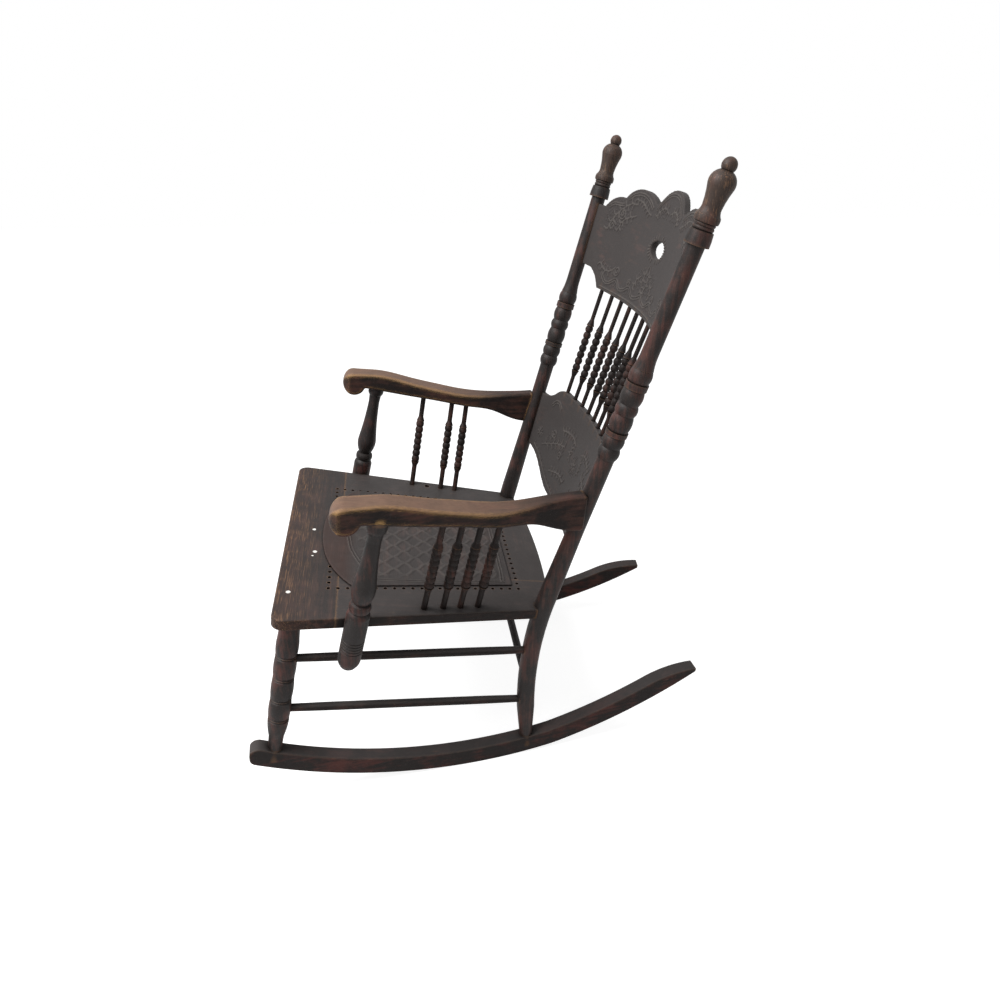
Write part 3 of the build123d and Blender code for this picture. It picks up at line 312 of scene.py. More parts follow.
def old_varnish(name, grain, brown=0.5, red=0.3, bare=0.5, dust_and_painted_sheen=0.5, gold=0.0, edge_reach=0.005,
                painted_shade_reach=0.012, veil=0.0, sheen=0.10, extra=None):
    """Old dark varnish on wood.

    brown and red say how much of the field they cover, bare and gold how far edges are rubbed through,
    and dust how grey the upper sides are, partly dusty and partly a painted sheen from the sky. grain is
    the axis that the fibres run along, edge_reach how far rubbing comes in from an edge, groove how far
    the painted shade reaches into grooves and corners, veil an even grey haze, and sheen how shiny the
    varnish is. extra may change the base colour before the painted shade goes on.
    """
    tones = chair_settings().finish
    shop = Workshop(bpy.data.materials.new(name))
    place = shop.place()
    along = shop.stretched(place, [ALONG_GRAIN if axis == grain else 1.0 for axis in "XYZ"])
    fibres = shop.noise(along, FIBRES, 4.0, 0.6)
    streaks = shop.noise(along, STREAKS, 3.0, 0.6)
    patches = shop.noise(place, PATCHES, 4.0, 0.6)
    blotches = shop.noise(place, BLOTCHES, 4.0, 0.62)
    grit = shop.noise(place, GRIT, 2.0, 0.6)

    field = shop.step(streaks * 0.45 + patches * 0.55, 0.60, 0.80, 0.26 * brown)
    base = shop.mix(field, tones.varnish, tones.brown)
    stain = shop.step(patches * 0.7 + streaks * 0.3, 0.60, 0.82, 0.20 * red)
    base = shop.mix(stain * (0.25 + 0.55 * red), base, tones.red)

    # Upper sides go grey: a painted sheen from the sky, dusty in patches.
    painted_sheen_and_dust_on_top = shop.step(shop.upward(), 0.25, 0.95) * (0.45 + 0.4 * patches)
    base = shop.mix(painted_sheen_and_dust_on_top * dust_and_painted_sheen, base, tones.dust_and_painted_sheen)
    if veil:
        base = shop.mix(veil * (0.8 + 0.4 * blotches), base, tones.dust_and_painted_sheen)

    rubbed = shop.rounds(edge_reach)
    ragged = rubbed * (0.55 + 0.9 * fibres) + (blotches - 0.5) * 0.35
    thin = shop.step(ragged, 0.34, 0.62, 0.16 * tones.wear)
    base = shop.mix(thin * (0.85 * bare), base, tones.bare)
    if gold:
        bright = shop.step(ragged, 0.46, 0.72, 0.14 * tones.wear)
        base = shop.mix(bright * gold, base, tones.gold)

    scratches = shop.step(fibres, 0.60, 0.70) * shop.step(patches, 0.42, 0.62)
    base = shop.mix(scratches * (0.08 + 0.22 * bare), base, tones.bare)
    specks = shop.step(grit, 0.56, 0.70)
    base = shop.mix(specks * 0.30, base, tones.dust_and_painted_sheen)
    if extra:
        base = extra(shop, place, base, fibres, blotches)
    # Painted shade: darker towards near black in grooves and corners, where surfaces close in.
    outside_painted_shade = shop.step(shop.shelter(painted_shade_reach), 0.42, 0.99) * 0.88 + 0.12
    base = shop.mix(outside_painted_shade, tones.painted_hollow_shade, base)

    rough = 0.60 - 0.34 * tones.gloss + blotches * 0.22 + thin * 0.12
    height = fibres * 0.45 + streaks * 0.30 + grit * 0.15 + blotches * 0.25
    normal = shop.add("ShaderNodeBump", None,
                      {"Strength": BUMP_STRENGTH, "Distance": BUMP_DEPTH, "Height": height})
    return shop.close(base, rough, normal, sheen)


def dress(nodes, material):
    """Give a finish to pieces of the chair."""
    for name in nodes:
        for slot in NODES[name].material_slots:
            slot.material = material


def both(*names):
    """The left and right pieces of these names."""
    return [f"{side}_{name}" for side in ("left", "right") for name in names]


# ---- finishes with their own marks ---------------------------------------------------------------------
def past(shop, place, axis, band):
    """0 before a band of an axis, 1 past it, eased between."""
    return shop.step(shop.split(place, axis), *band)


def finial_wear(shop, place, base, fibres, blotches):
    """Turned tops worn towards tan and scratched along their length."""
    tones = chair_settings().finish
    high = past(shop, place, "Z", FINIAL_BAND)
    scratched = shop.step(fibres * 0.7 + blotches * 0.3, 0.50, 0.64)
    tone = shop.mix(scratched, tones.tan, tones.bare)
    return shop.mix(high * (0.10 + 0.34 * scratched), base, tone)


def arm_wear(shop, place, base, fibres, blotches):
    """Arms rubbed tan on top by the sitter's hands, and golden on the front edges."""
    tones = chair_settings().finish
    up = shop.upward()
    handled = shop.step(up, 0.2, 0.75) * (1.0 - past(shop, place, "Y", ARM_REST_BAND))
    grain = shop.step(fibres * 0.5 + blotches * 0.5, 0.30, 0.70)
    base = shop.mix(handled * (0.42 + 0.30 * grain), base, tones.tan)
    edge = shop.step(shop.rounds(0.008) + (fibres - 0.5) * 0.25, 0.12, 0.32)
    front = 1.0 - past(shop, place, "Y", ARM_FRONT_BAND)
    facing = shop.step(up, -0.45, 0.10)
    return shop.mix(edge * front * facing * 0.75, base, tones.gold)


def seat_front_wear(shop, place, base, fibres, blotches):
    """The seat's front edge rubbed towards bare grain, with a few specks of paint."""
    tones = chair_settings().finish
    near = 1.0 - past(shop, place, "Y", SEAT_FRONT_BAND)
    grain = shop.step(fibres * 0.75 + blotches * 0.25, 0.46, 0.66)
    tone = shop.mix(grain, tones.brown, tones.bare)
    base = shop.mix(near * (0.25 + 0.30 * grain), base, tone)
    for across, back, radius in PAINT_SPECKS:
        spot = SEAT_ORIGIN + seat_axes()[1] * back + Vector((across, 0, 0))
        away = shop.distance(place, spot) + (blotches - 0.5) * 0.004
        base = shop.mix(1.0 - shop.step(away, radius * 0.7, radius), base, tones.paint)
    return base


def pressed_lines(shop, place, base, fibres, blotches):
    """Paler crests on the pressed ornament, rubbed off in blotches."""
    tones = chair_settings().finish
    relief = shop.add("ShaderNodeAttribute", {"attribute_name": "relief"}, output="Fac")
    crest = shop.step(relief + (blotches - 0.5) * 0.9, 0.35, 1.05)
    return shop.mix(crest * 0.50, base, tones.pressed)


def seat_panel_wear(shop, place, base, fibres, blotches):
    """The pressed lines of the seat, and a browner band along its front."""
    tones = chair_settings().finish
    front = 1.0 - past(shop, place, "Y", SEAT_PANEL_BAND)
    base = shop.mix(front * (0.30 + 0.35 * blotches), base, tones.brown)
    return pressed_lines(shop, place, base, fibres, blotches)


# ---- drawings of the ornament --------------------------------------------------------------------------
# Lines go through points in metres from a plane's origin: across, and up the back or to the back of the
# seat. They show the sitter's left half and are mirrored. A stem has the size of its leaves, a scroll its
# centre, reach, starting angle and turns, and a stippled ground an ellipse's centre and reach.
CREST_FOOT = ((0, -.1335), (.040, -.1335), (.080, -.1345), (.120, -.1360), (.152, -.1370))
CREST_BORDERS = (
    ((0, .0470), (.018, .0445), (.034, .0365), (.046, .0255), (.054, .0165)),
    ((.066, .0165), (.082, .0250), (.100, .0305), (.118, .0315), (.136, .0270), (.149, .0180)),
    ((.158, .0060), (.170, .0045), (.184, .0030), (.196, -.0040)),
)
CREST_WAVE = ((.0, -.117), (.016, -.124), (.034, -.126), (.054, -.116), (.070, -.124), (.088, -.127),
              (.106, -.116), (.124, -.126), (.140, -.128), (.158, -.117))
CREST_STEMS = (
    (((.118, .012), (.136, .010), (.156, -.002), (.174, -.022), (.182, -.044)), .0100),
    (((.112, -.006), (.130, -.012), (.146, -.022), (.154, -.040)), .0090),
    (((.066, .004), (.084, .010), (.104, .018), (.126, .020)), .0065),
    (((.004, .016), (.020, .022), (.034, .018), (.046, .006)), .0065),
    (((.002, -.066), (.008, -.080), (.010, -.096), (.002, -.110)), .0090),
    (((.022, -.086), (.034, -.096), (.040, -.110)), .0075),
    (((.120, -.096), (.134, -.106), (.152, -.108), (.168, -.100)), .0080),
)
CREST_SCROLLS = (((.152, -.010), .0105, 200, 1.5), ((.172, -.034), .0090, 20, 1.4),
                 ((.112, -.100), .0095, 160, 1.6), ((.060, -.108), .0065, 340, 1.4))
CREST_GROUNDS = (((.164, -.018), (.032, .028)), ((.090, -.125), (.070, .006)), ((.020, -.092), (.018, .020)),
                 ((.150, -.106), (.020, .010)), ((.030, .012), (.026, .009)))

PANEL_EDGE = ((0, -.5300), (.040, -.5290), (.072, -.5245), (.108, -.5125), (.150, -.4880), (.176, -.4765))
PANEL_CURL = ((.122, -.374), (.134, -.366), (.148, -.368), (.158, -.380))
PANEL_STEMS = (
    (((.148, -.462), (.122, -.448), (.092, -.434), (.062, -.426)), .0110),
    (((.020, -.404), (.040, -.396), (.066, -.398), (.090, -.404)), .0080),
    (((.096, -.494), (.070, -.484), (.044, -.478), (.024, -.482)), .0090),
    (((.026, -.440), (.034, -.426), (.030, -.412)), .0070),
)
PANEL_SCROLLS = (((.118, -.424), .0095, 180, 1.5), ((.074, -.452), .0085, 0, 1.4))
PANEL_GROUNDS = (((.100, -.440), (.040, .016)), ((.060, -.484), (.036, .008)), ((.0, -.436), (.020, .022)))

SEAT_BORDER = ((0, -.1210), (.047, -.1150), (.073, -.1080), (.104, -.0960), (.138, -.0820), (.148, -.0700),
               (.146, .0400), (.138, .1400), (.128, .1520), (.060, .1540), (0, .1540))

# Rays fan out from a middle, from an inner ellipse to an outer one.
HOLE_TURNS = [radians(-90 + 15 * ray) for ray in range(1, 12)]
HOLE_RAYS = ((0, -.039), (.0310, .0160), (.0370, .0215), HOLE_TURNS)
PETAL_TURNS = [2 * pi * petal / 8 for petal in range(8)]
FLOWER_RAYS = ((.166, -.444), (.003, .003), (.0095, .0095), PETAL_TURNS)
ROSETTE_RAYS = ((0, -.436), (.004, .004), (.012, .013), PETAL_TURNS)

# Gaps between double lines, above 0 to the left of a line's run and below 0 to its right.
CREST_BORDER_GAP = -.0036
CREST_WAVE_GAP = .0040
PANEL_CURL_GAP = -.0042
PANEL_EDGE_GAP = .0042
PANEL_PEBBLE_GAP = .0085
SEAT_BORDER_GAP = .0050

# How high and wide the parts of the ornament are, as shares of the settings' relief and line.
GROUND_LEVEL = 0.6
EDGE_PEBBLE_LEVEL = 0.7
LATTICE_LEVEL = 0.7
SEAT_LINE_WIDTH = 0.9

SCROLL_EYE = 0.002
SCROLL_STEPS = 44
LEAF_SPACING = 0.72             # of a leaf's size
LEAF_MIDDLE = (0.55, 0.30)      # ahead and to the side, as shares of a leaf's size
LEAF_TIP = (0.6, 1.0)
RIDGE_ROUND = 0.8               # the lower, the fuller a ridge

PEBBLE_PITCH = 0.0062
PEBBLE_JITTER = 0.18            # of the pitch
ROW_PITCH = 0.87                # of the pitch
EDGE_PEBBLE_STEP = 4            # a pebble at every fourth point of the edge
CREST_SEED = 0
PANEL_SEED = 10

# The lattice runs at 45 degrees. Its ground narrows to the back, and its front edge bulges forward.
DIAGONAL = 1.41
LATTICE_FADE = 0.006
LATTICE_SIDE = 0.136
LATTICE_NARROWING = 0.05
LATTICE_REAR = 0.146
LATTICE_FRONT = -0.104
LATTICE_BULGE = 1.5

# A point is on a board's face if its normal turns this far out and it lies this near the bare face.
FACE_TURN = 0.6
FACE_REACH = 0.0016

# Corners this near are welded before the fine mesh is made; its edges are then eased in a few passes.
WELD_REACH = 1e-6
EASE_SHARE = 0.5
EASE_PASSES = 4


# ---- lines and grounds ---------------------------------------------------------------------------------
def back_axes():
    """Across, up and out of the back's plane."""
    up = Vector((0, sin(BACK_LEAN), cos(BACK_LEAN)))
    return Vector((1, 0, 0)), up, Vector((0, -cos(BACK_LEAN), sin(BACK_LEAN)))


def seat_axes():
    """Across, to the back and out of the seat's plane."""
    back = Vector((0, cos(SEAT_SLOPE), -sin(SEAT_SLOPE)))
    return Vector((1, 0, 0)), back, Vector((0, sin(SEAT_SLOPE), cos(SEAT_SLOPE)))


def scroll(centre, reach, start, turns):
    """Points on a scroll that winds outwards from its eye."""
    angles = np.radians(start) + np.linspace(0, 2 * pi * turns, SCROLL_STEPS)
    radii = np.linspace(SCROLL_EYE, reach, SCROLL_STEPS)
    return np.stack([centre[0] + radii * np.cos(angles), centre[1] + radii * np.sin(angles)], 1)


def rays(centre, inner, outer, turns):
    """Short straight lines from one ellipse to a larger one."""
    return [np.array([(centre[0] + reach[0] * cos(turn), centre[1] + reach[1] * sin(turn))
                      for reach in (inner, outer)]) for turn in turns]


def flowing(points, steps=12):
    """A smooth line through these points."""
    knots = np.array(points, float)
    ends = np.concatenate([[2 * knots[0] - knots[1]], knots, [2 * knots[-1] - knots[-2]]])
    line = []
    for a, b, c, d in zip(ends, ends[1:], ends[2:], ends[3:]):
        for t in np.linspace(0, 1, steps, endpoint=False):
            line.append(0.5 * (2 * b + (c - a) * t + (2 * a - 5 * b + 4 * c - d) * t ** 2
                               + (3 * b - a - 3 * c + d) * t ** 3))
    return np.array(line + [knots[-1]])


def beside(line, gap):
    """A line parallel to another."""
    run = np.gradient(line, axis=0)
    run /= np.maximum(np.linalg.norm(run, axis=1, keepdims=True), 1e-9)
    return line + np.stack([-run[:, 1], run[:, 0]], 1) * gap


def doubled(line, gap):
    """A line and its parallel."""
    return [line, beside(line, gap)]


def mirrored(lines):
    """These lines and their twins across the middle."""
    return lines + [line * (-1, 1) for line in lines]


def leafy(stem, size):
    """A stem with short curved leaves on both sides."""
    spacing = size * LEAF_SPACING
    steps = np.linalg.norm(np.diff(stem, axis=0), axis=1)
    travel = np.concatenate([[0], np.cumsum(steps)])
    leaves = [stem]
    for number, stop in enumerate(np.arange(spacing, travel[-1], spacing)):
        root, before = (np.array([np.interp(at, travel, stem[:, 0]), np.interp(at, travel, stem[:, 1])])
                        for at in (stop, stop - spacing / 4))
        ahead = (root - before) / (spacing / 4)
        side = np.array([-ahead[1], ahead[0]]) * (1 if number % 2 else -1)
        middle, tip = (root + (ahead * forth + side * out) * size for forth, out in (LEAF_MIDDLE, LEAF_TIP))
        leaves.append(flowing([root, middle, tip], 4))
    return leaves


def sprays(stems):
    """Leafy stems."""
    return [line for points, size in stems for line in leafy(flowing(points), size)]


def stippled(centre, reach, seed):
    """Centres of pebbles scattered over an ellipse."""
    maker = np.random.default_rng(seed)
    centres = []
    rows = np.arange(-reach[1], reach[1] + PEBBLE_PITCH / 2, PEBBLE_PITCH * ROW_PITCH)
    for number, row in enumerate(rows):
        shift = PEBBLE_PITCH / 2 if number % 2 else 0.0
        for column in np.arange(-reach[0] + shift, reach[0] + PEBBLE_PITCH / 2, PEBBLE_PITCH):
            if (column / reach[0]) ** 2 + (row / reach[1]) ** 2 < 1:
                jitter = maker.uniform(-PEBBLE_JITTER, PEBBLE_JITTER, 2) * PEBBLE_PITCH
                centres.append((centre[0] + column + jitter[0], centre[1] + row + jitter[1]))
    return np.array(centres)


def along_line(points, line):
    """Distance from each point to a line."""
    nearest = np.full(len(points), np.inf)
    for start, end in zip(line, line[1:]):
        run = end - start
        reach = max(float(run @ run), 1e-12)
        t = np.clip(((points - start) @ run) / reach, 0, 1)
        nearest = np.minimum(nearest, np.linalg.norm(points - (start + t[:, None] * run), axis=1))
    return nearest


def raise_lines(points, height, lines, half_width):
    """Raise rounded ridges along lines; height holds the highest so far."""
    for line in lines:
        low, high = line.min(0) - half_width, line.max(0) + half_width
        close = np.where(((points >= low) & (points <= high)).all(1))[0]
        if len(close):
            away = along_line(points[close], line) / half_width
            height[close] = np.maximum(height[close], np.clip(1 - away ** 2, 0, None) ** RIDGE_ROUND)


def raise_pebbles(points, height, centres, level):
    """Raise round pebbles."""
    radius = chair_settings().ornament.pebble
    for centre in centres:
        close = np.where((np.abs(points - centre) <= radius).all(1))[0]
        away = np.linalg.norm(points[close] - centre, axis=1) / radius
        height[close] = np.maximum(height[close], level * np.sqrt(np.clip(1 - away ** 2, 0, None)))


def raise_grounds(points, height, grounds, first_seed):
    """Raise stippled grounds on both sides of the middle."""
    for seed, (centre, reach) in enumerate(grounds, first_seed):
        for side in (1, -1):
            centres = stippled((centre[0] * side, centre[1]), reach, seed)
            raise_pebbles(points, height, centres, GROUND_LEVEL)


# ---- the three pressed boards --------------------------------------------------------------------------
def crest_height(points):
    """The crest rail's ornament: borders under the lobes, leafy sprays and a running edge below."""
    lines = [flowing(CREST_FOOT)]
    for border in CREST_BORDERS:
        lines += doubled(flowing(border), CREST_BORDER_GAP)
    lines += sprays(CREST_STEMS)
    lines += doubled(flowing(CREST_WAVE), CREST_WAVE_GAP)
    lines += [scroll(*shape) for shape in CREST_SCROLLS]
    lines += rays(*HOLE_RAYS)
    height = np.zeros(len(points))
    raise_lines(points, height, mirrored(lines), chair_settings().ornament.line)
    raise_grounds(points, height, CREST_GROUNDS, CREST_SEED)
    return height


def panel_height(points):
    """The lower panel's ornament: sprays, a middle rosette, a flower at each end and a pebbled edge."""
    edge = flowing(PANEL_EDGE)
    lines = sprays(PANEL_STEMS)
    lines += doubled(flowing(PANEL_CURL), PANEL_CURL_GAP)
    lines += [beside(edge, PANEL_EDGE_GAP)]
    lines += [scroll(*shape) for shape in PANEL_SCROLLS]
    lines += rays(*FLOWER_RAYS)
    lines += rays(*ROSETTE_RAYS)
    height = np.zeros(len(points))
    raise_lines(points, height, mirrored(lines), chair_settings().ornament.line)
    pebbles = beside(edge, PANEL_PEBBLE_GAP)[::EDGE_PEBBLE_STEP]
    for side in (1, -1):
        raise_pebbles(points, height, pebbles * (side, 1), EDGE_PEBBLE_LEVEL)
    raise_grounds(points, height, PANEL_GROUNDS, PANEL_SEED)
    return height


def seat_height(points):
    """The seat panel's ornament: a double border and a waving lattice inside it."""
    sizes = chair_settings().ornament
    height = np.zeros(len(points))
    border = mirrored(doubled(flowing(SEAT_BORDER), SEAT_BORDER_GAP))
    raise_lines(points, height, border, sizes.line * SEAT_LINE_WIDTH)
    pitch, swing = sizes.lattice_pitch, sizes.lattice_wave
    across, back = points[:, 0] / pitch, points[:, 1] / pitch
    ground = lattice_ground(points)
    for hand in (1, -1):
        run = across + hand * back + swing / pitch * np.sin(2 * pi * (across - hand * back))
        away = np.abs(run - np.round(run)) * pitch / DIAGONAL
        ridge = LATTICE_LEVEL * np.clip(1 - (away / sizes.lattice_line) ** 2, 0, None)
        height = np.maximum(height, ridge * ground)
    return height


def lattice_ground(points):
    """1 where the seat's lattice lies, fading out at its border."""
    across, back = np.abs(points[:, 0]), points[:, 1]
    from_side = (LATTICE_SIDE - LATTICE_NARROWING * back) - across
    from_rear = LATTICE_REAR - back
    from_front = back - (LATTICE_FRONT + LATTICE_BULGE * across ** 2)
    return np.clip(np.minimum.reduce([from_side, from_rear, from_front]) / LATTICE_FADE, 0, 1)


def bowed(depth):
    """How high a bowed board's front face lies over the back's plane."""
    return lambda x: -(depth - BOW_RADIUS + np.sqrt(BOW_RADIUS ** 2 - x ** 2))


def fine_board(node, spacing):
    """A copy of a board in an even fine mesh, its edges eased."""
    mesh = NODES[node].data.copy()
    build = bmesh.new()
    build.from_mesh(mesh)
    bmesh.ops.remove_doubles(build, verts=build.verts, dist=WELD_REACH)
    build.to_mesh(mesh)
    build.free()
    board = bpy.data.objects.new(f"{node}_pressed", mesh)
    bpy.context.scene.collection.objects.link(board)
    grid = board.modifiers.new("even_grid", "REMESH")
    grid.mode = "VOXEL"
    grid.voxel_size = spacing
    ease = board.modifiers.new("eased_edges", "SMOOTH")
    ease.factor = EASE_SHARE
    ease.iterations = EASE_PASSES
    bpy.context.view_layer.update()
    shaped = bpy.data.meshes.new_from_object(board.evaluated_get(bpy.context.evaluated_depsgraph_get()))
    board.modifiers.clear()
    board.data = shaped
    shaped.polygons.foreach_set("use_smooth", np.ones(len(shaped.polygons), bool))
    return board


def press(board, origin, axes, skin, heights, relief):
    """Push the board's face out along the ornament.

    skin gives how high the bare face lies over the plane, heights the ornament from 0 to 1. The mesh keeps
    the ornament as its relief, for the finish to follow.
    """
    mesh = board.data
    count = len(mesh.vertices)
    places, normals = np.empty(count * 3, np.float32), np.empty(count * 3, np.float32)
    mesh.vertices.foreach_get("co", places)
    mesh.vertex_normals.foreach_get("vector", normals)
    places, normals = places.reshape(-1, 3).astype(float), normals.reshape(-1, 3).astype(float)
    plane = np.array([list(axis) for axis in axes])
    local = (places - np.array(origin)) @ plane.T
    facing = normals @ plane[2]
    face = (facing > FACE_TURN) & (np.abs(local[:, 2] - skin(local[:, 0])) < FACE_REACH)
    amount = np.zeros(count)
    amount[face] = heights(local[face, :2])
    places += normals * (amount * relief)[:, None]
    mesh.vertices.foreach_set("co", places.astype(np.float32).ravel())
    carried = mesh.attributes.new("relief", "FLOAT", "POINT")
    carried.data.foreach_set("value", amount.astype(np.float32))
    mesh.update()


def pressed_piece(node, material, origin, axes, skin, heights):
    """Swap a board for its pressed twin."""
    sizes = chair_settings().ornament
    board = fine_board(node, sizes.grid)
    press(board, origin, axes, skin, heights, sizes.relief)
    board.data.materials.clear()
    board.data.materials.append(material)
    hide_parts(node)
    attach(board, "root")


# ---- operators -----------------------------------------------------------------------------------------
class CHAIR_OT_rockers(bpy.types.Operator):
    """Finish the two rockers"""

    bl_idname = "chair.rockers"
    bl_label = "Rockers"

    def execute(self, context):
        finish = old_varnish("rocker_varnish", "Y", brown=0.45, red=0.75, bare=0.25, dust_and_painted_sheen=0.9)
        dress(both("rocker"), finish)
        return {"FINISHED"}


class CHAIR_OT_legs(bpy.types.Operator):
    """Finish the front legs and the back posts"""

    bl_idname = "chair.legs"
    bl_label = "Legs and posts"

    def execute(self, context):
        finish = old_varnish("front_leg_varnish", "Z", brown=0.7, red=0.8, bare=0.30, dust_and_painted_sheen=0.30,
                             painted_shade_reach=0.014, sheen=0.22)
        dress(both("front_leg"), finish)
        finish = old_varnish("back_post_varnish", "Z", brown=0.6, red=0.6, bare=0.25, dust_and_painted_sheen=0.30,
                             painted_shade_reach=0.014, sheen=0.22, extra=finial_wear)
        dress(both("back_post"), finish)
        return {"FINISHED"}


class CHAIR_OT_arms(bpy.types.Operator):
    """Finish the arms and their posts"""

    bl_idname = "chair.arms"
    bl_label = "Arms and arm posts"

    def execute(self, context):
        finish = old_varnish("arm_varnish", "Y", brown=0.7, red=0.4, bare=0.45, dust_and_painted_sheen=0.12, gold=0.35,
                             edge_reach=0.006, extra=arm_wear)
        dress(both("arm"), finish)
        finish = old_varnish("arm_post_varnish", "Z", brown=0.45, red=0.6, bare=0.30, dust_and_painted_sheen=0.15,
                             painted_shade_reach=0.014, sheen=0.22)
        dress(both("arm_post"), finish)
        return {"FINISHED"}


class CHAIR_OT_spindles(bpy.types.Operator):
    """Finish the spindles under the arms and in the back"""

    bl_idname = "chair.spindles"
    bl_label = "Spindles"

    def execute(self, context):
        finish = old_varnish("arm_spindle_varnish", "Z", brown=0.6, red=0.4, bare=0.22, dust_and_painted_sheen=0.15,
                             edge_reach=0.003, painted_shade_reach=0.005)
        dress([name for name in NODES if "arm_spindle" in name], finish)
        finish = old_varnish("back_spindle_varnish", "Z", brown=0.5, red=0.3, bare=0.18, dust_and_painted_sheen=0.15,
                             edge_reach=0.003, painted_shade_reach=0.005)
        dress([name for name in NODES if name.startswith("back_spindle")], finish)
        return {"FINISHED"}


class CHAIR_OT_rungs(bpy.types.Operator):
    """Finish the rungs between the legs"""

    bl_idname = "chair.rungs"
    bl_label = "Rungs"

    def execute(self, context):
        finish = old_varnish("side_rung_varnish", "Y", dust_and_painted_sheen=0.9, red=0.2)
        dress(both("upper_side_rung", "lower_side_rung"), finish)
        finish = old_varnish("cross_rung_varnish", "X", dust_and_painted_sheen=0.9, red=0.2)
        dress(["front_upper_rung", "front_lower_rung", "rear_rung"], finish)
        return {"FINISHED"}


class CHAIR_OT_seat_frame(bpy.types.Operator):
    """Finish the rails of the seat"""

    bl_idname = "chair.seat_frame"
    bl_label = "Seat frame"

    def execute(self, context):
        finish = old_varnish("seat_side_varnish", "Y", brown=0.4, red=0.1, bare=0.30, dust_and_painted_sheen=0.75)
        dress(both("seat_rail"), finish)
        finish = old_varnish("seat_back_varnish", "X", brown=0.4, red=0.1, bare=0.30, dust_and_painted_sheen=0.75)
        dress(["seat_back_rail"], finish)
        finish = old_varnish("seat_front_varnish", "X", brown=0.6, red=0.15, bare=0.45, dust_and_painted_sheen=0.5,
                             gold=0.2, extra=seat_front_wear)
        dress(["seat_front_rail"], finish)
        return {"FINISHED"}


class CHAIR_OT_crest(bpy.types.Operator):
    """Press the ornament into the crest rail"""

    bl_idname = "chair.crest"
    bl_label = "Crest rail"

    def execute(self, context):
        finish = old_varnish("crest_varnish", "X", brown=0.25, red=0.1, bare=0.1, dust_and_painted_sheen=0.4, veil=0.38,
                             painted_shade_reach=0.005, extra=pressed_lines)
        pressed_piece("crest_rail", finish, BACK_ORIGIN, back_axes(), bowed(CREST_BOW),
                      crest_height)
        return {"FINISHED"}


class CHAIR_OT_lower_panel(bpy.types.Operator):
    """Press the ornament into the lower back panel"""

    bl_idname = "chair.lower_panel"
    bl_label = "Lower back panel"

    def execute(self, context):
        finish = old_varnish("panel_varnish", "X", brown=0.25, red=0.1, bare=0.1, dust_and_painted_sheen=0.4, veil=0.36,
                             painted_shade_reach=0.005, extra=pressed_lines)
        pressed_piece("lower_back_panel", finish, BACK_ORIGIN, back_axes(), bowed(PANEL_BOW),
                      panel_height)
        return {"FINISHED"}


class CHAIR_OT_seat_panel(bpy.types.Operator):
    """Press the lattice into the seat panel"""

    bl_idname = "chair.seat_panel"
    bl_label = "Seat panel"

    def execute(self, context):
        finish = old_varnish("seat_panel_varnish", "X", brown=0.5, red=0.1, bare=0.3, dust_and_painted_sheen=0.7,
                             edge_reach=0.0010, painted_shade_reach=0.005, extra=seat_panel_wear)
        pressed_piece("pressed_seat_panel", finish, SEAT_ORIGIN, seat_axes(),
                      lambda x: SEAT_PANEL_THICKNESS, seat_height)
        return {"FINISHED"}


def studio_floor(paint):
    """A floor that looks white where it is seen and keeps the chair's shadow."""
    mesh = bpy.data.meshes.new("studio_floor")
    corners = [(-1, -1), (1, -1), (1, 1), (-1, 1)]
    mesh.from_pydata([(x * FLOOR_HALF, y * FLOOR_HALF, 0) for x, y in corners], [], [(0, 1, 2, 3)])
    floor = bpy.data.objects.new("studio_floor", mesh)
    bpy.context.scene.collection.objects.link(floor)
    shop = Workshop(bpy.data.materials.new("studio_floor_paint"))
    matt = shop.add("ShaderNodeBsdfDiffuse", None, {"Color": rgba(paint)})
    shaded = shop.add("ShaderNodeBsdfDiffuse", None, {"Color": grey(FLOOR_GREY)})
    glow = shop.add("ShaderNodeEmission", None, {"Color": grey(FLOOR_GLOW), "Strength": 1.0})
    white = shop.add("ShaderNodeAddShader", None, {0: shaded, 1: glow})
    mesh.materials.append(shop.close_twofold("ShaderNodeOutputMaterial", matt, white))


def studio_sky(strength):
    """Even light from all around, white where it is seen."""
    world = bpy.data.worlds.new("studio_sky")
    bpy.context.scene.world = world
    shop = Workshop(world)
    lit = shop.add("ShaderNodeBackground", None, {"Color": grey(1.0), "Strength": strength})
    white = shop.add("ShaderNodeBackground", None, {"Color": grey(1.0), "Strength": 1.0})
    shop.close_twofold("ShaderNodeOutputWorld", lit, white)


def studio_lamp(name, place, width, watts):
    """A soft square lamp, aimed at the chair."""
    lamp = bpy.data.lights.new(name, "AREA")
    lamp.size = width
    lamp.energy = watts
    holder = bpy.data.objects.new(name, lamp)
    holder.location = place
    holder.rotation_euler = (LAMP_AIM - place).to_track_quat("-Z", "Y").to_euler()
    bpy.context.scene.collection.objects.link(holder)


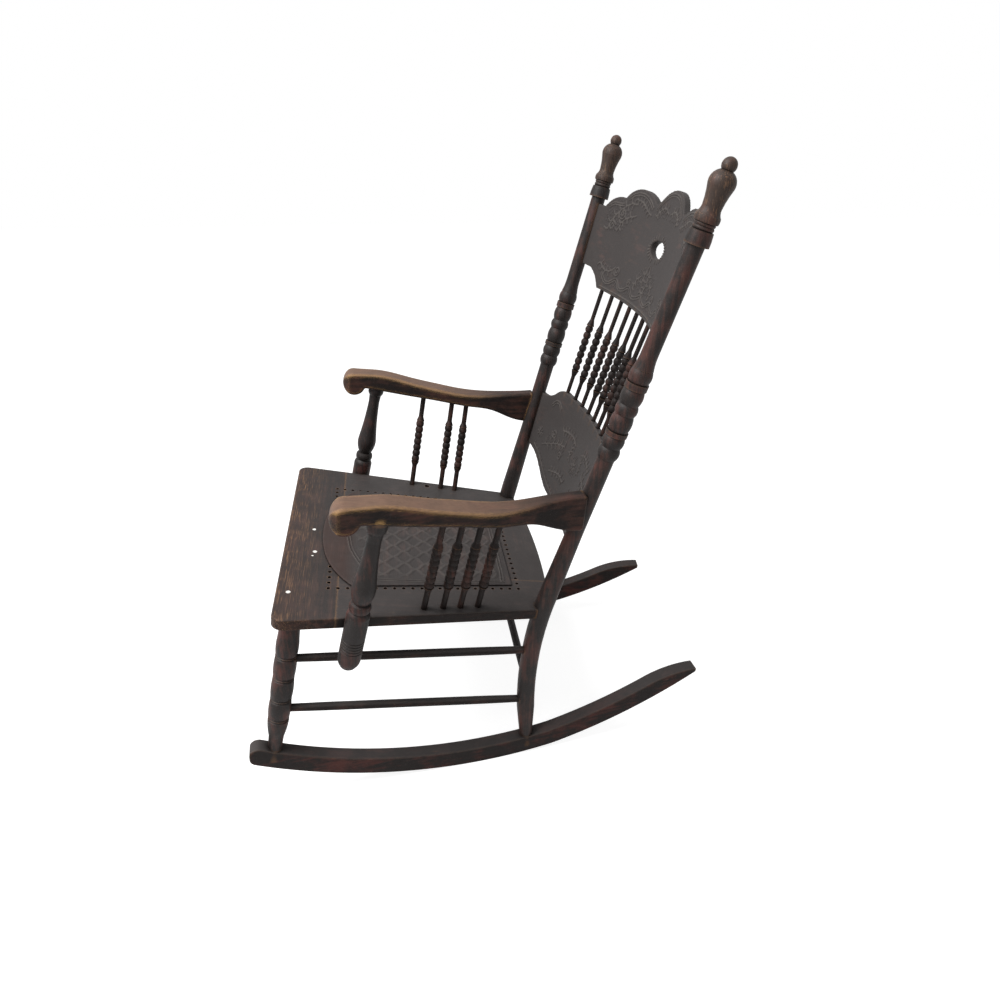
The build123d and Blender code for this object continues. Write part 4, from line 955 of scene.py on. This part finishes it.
def studio_camera():
    """The camera, set by its place and two directions."""
    lens = bpy.data.cameras.new("studio_camera")
    lens.lens = CAMERA_LENS
    lens.sensor_width = CAMERA_SENSOR
    camera = bpy.data.objects.new("studio_camera", lens)
    rise = CAMERA_RIGHT.cross(CAMERA_LOOK).normalized()
    turn = Matrix((CAMERA_RIGHT, rise, -CAMERA_LOOK)).transposed().to_4x4()
    camera.matrix_world = Matrix.Translation(CAMERA_PLACE) @ turn
    bpy.context.scene.collection.objects.link(camera)
    bpy.context.scene.camera = camera


class CHAIR_OT_studio(bpy.types.Operator):
    """Set up the floor, the lamps and the camera"""

    bl_idname = "chair.studio"
    bl_label = "Studio"

    def execute(self, context):
        studio = chair_settings().studio
        studio_floor(studio.floor)
        studio_sky(studio.sky)
        studio_lamp("lamp_above", KEY_PLACE, KEY_WIDTH, studio.key)
        studio_lamp("lamp_beside_camera", FILL_PLACE, FILL_WIDTH, studio.fill)
        studio_camera()
        context.scene.view_settings.view_transform = "Standard"
        return {"FINISHED"}


class CHAIR_PT_workbench(bpy.types.Panel):
    """Everything that dresses the chair"""

    bl_label = "Rocking chair"
    bl_idname = "CHAIR_PT_workbench"
    bl_space_type = "VIEW_3D"
    bl_region_type = "UI"
    bl_category = "Rocking chair"

    def draw(self, context):
        settings = chair_settings()
        for group in (settings.finish, settings.ornament, settings.studio):
            box = self.layout.box()
            for name in group.__annotations__:
                box.prop(group, name)
        for operator in STEPS:
            self.layout.operator(operator.bl_idname)


STEPS = (CHAIR_OT_rockers, CHAIR_OT_legs, CHAIR_OT_arms, CHAIR_OT_spindles, CHAIR_OT_rungs,
         CHAIR_OT_seat_frame, CHAIR_OT_crest, CHAIR_OT_lower_panel, CHAIR_OT_seat_panel, CHAIR_OT_studio)
CLASSES = (ChairFinish, ChairOrnament, ChairStudio, ChairSettings, *STEPS, CHAIR_PT_workbench)


def register():
    for item in CLASSES:
        bpy.utils.register_class(item)
    bpy.types.Scene.rocking_chair = PointerProperty(type=ChairSettings)


def unregister():
    del bpy.types.Scene.rocking_chair
    for item in reversed(CLASSES):
        bpy.utils.unregister_class(item)


def main():
    register()
    bpy.ops.chair.rockers()
    bpy.ops.chair.legs()
    bpy.ops.chair.arms()
    bpy.ops.chair.spindles()
    bpy.ops.chair.rungs()
    bpy.ops.chair.seat_frame()
    bpy.ops.chair.crest()
    bpy.ops.chair.lower_panel()
    bpy.ops.chair.seat_panel()
    bpy.ops.chair.studio()


if __name__ == "__main__":
    main()
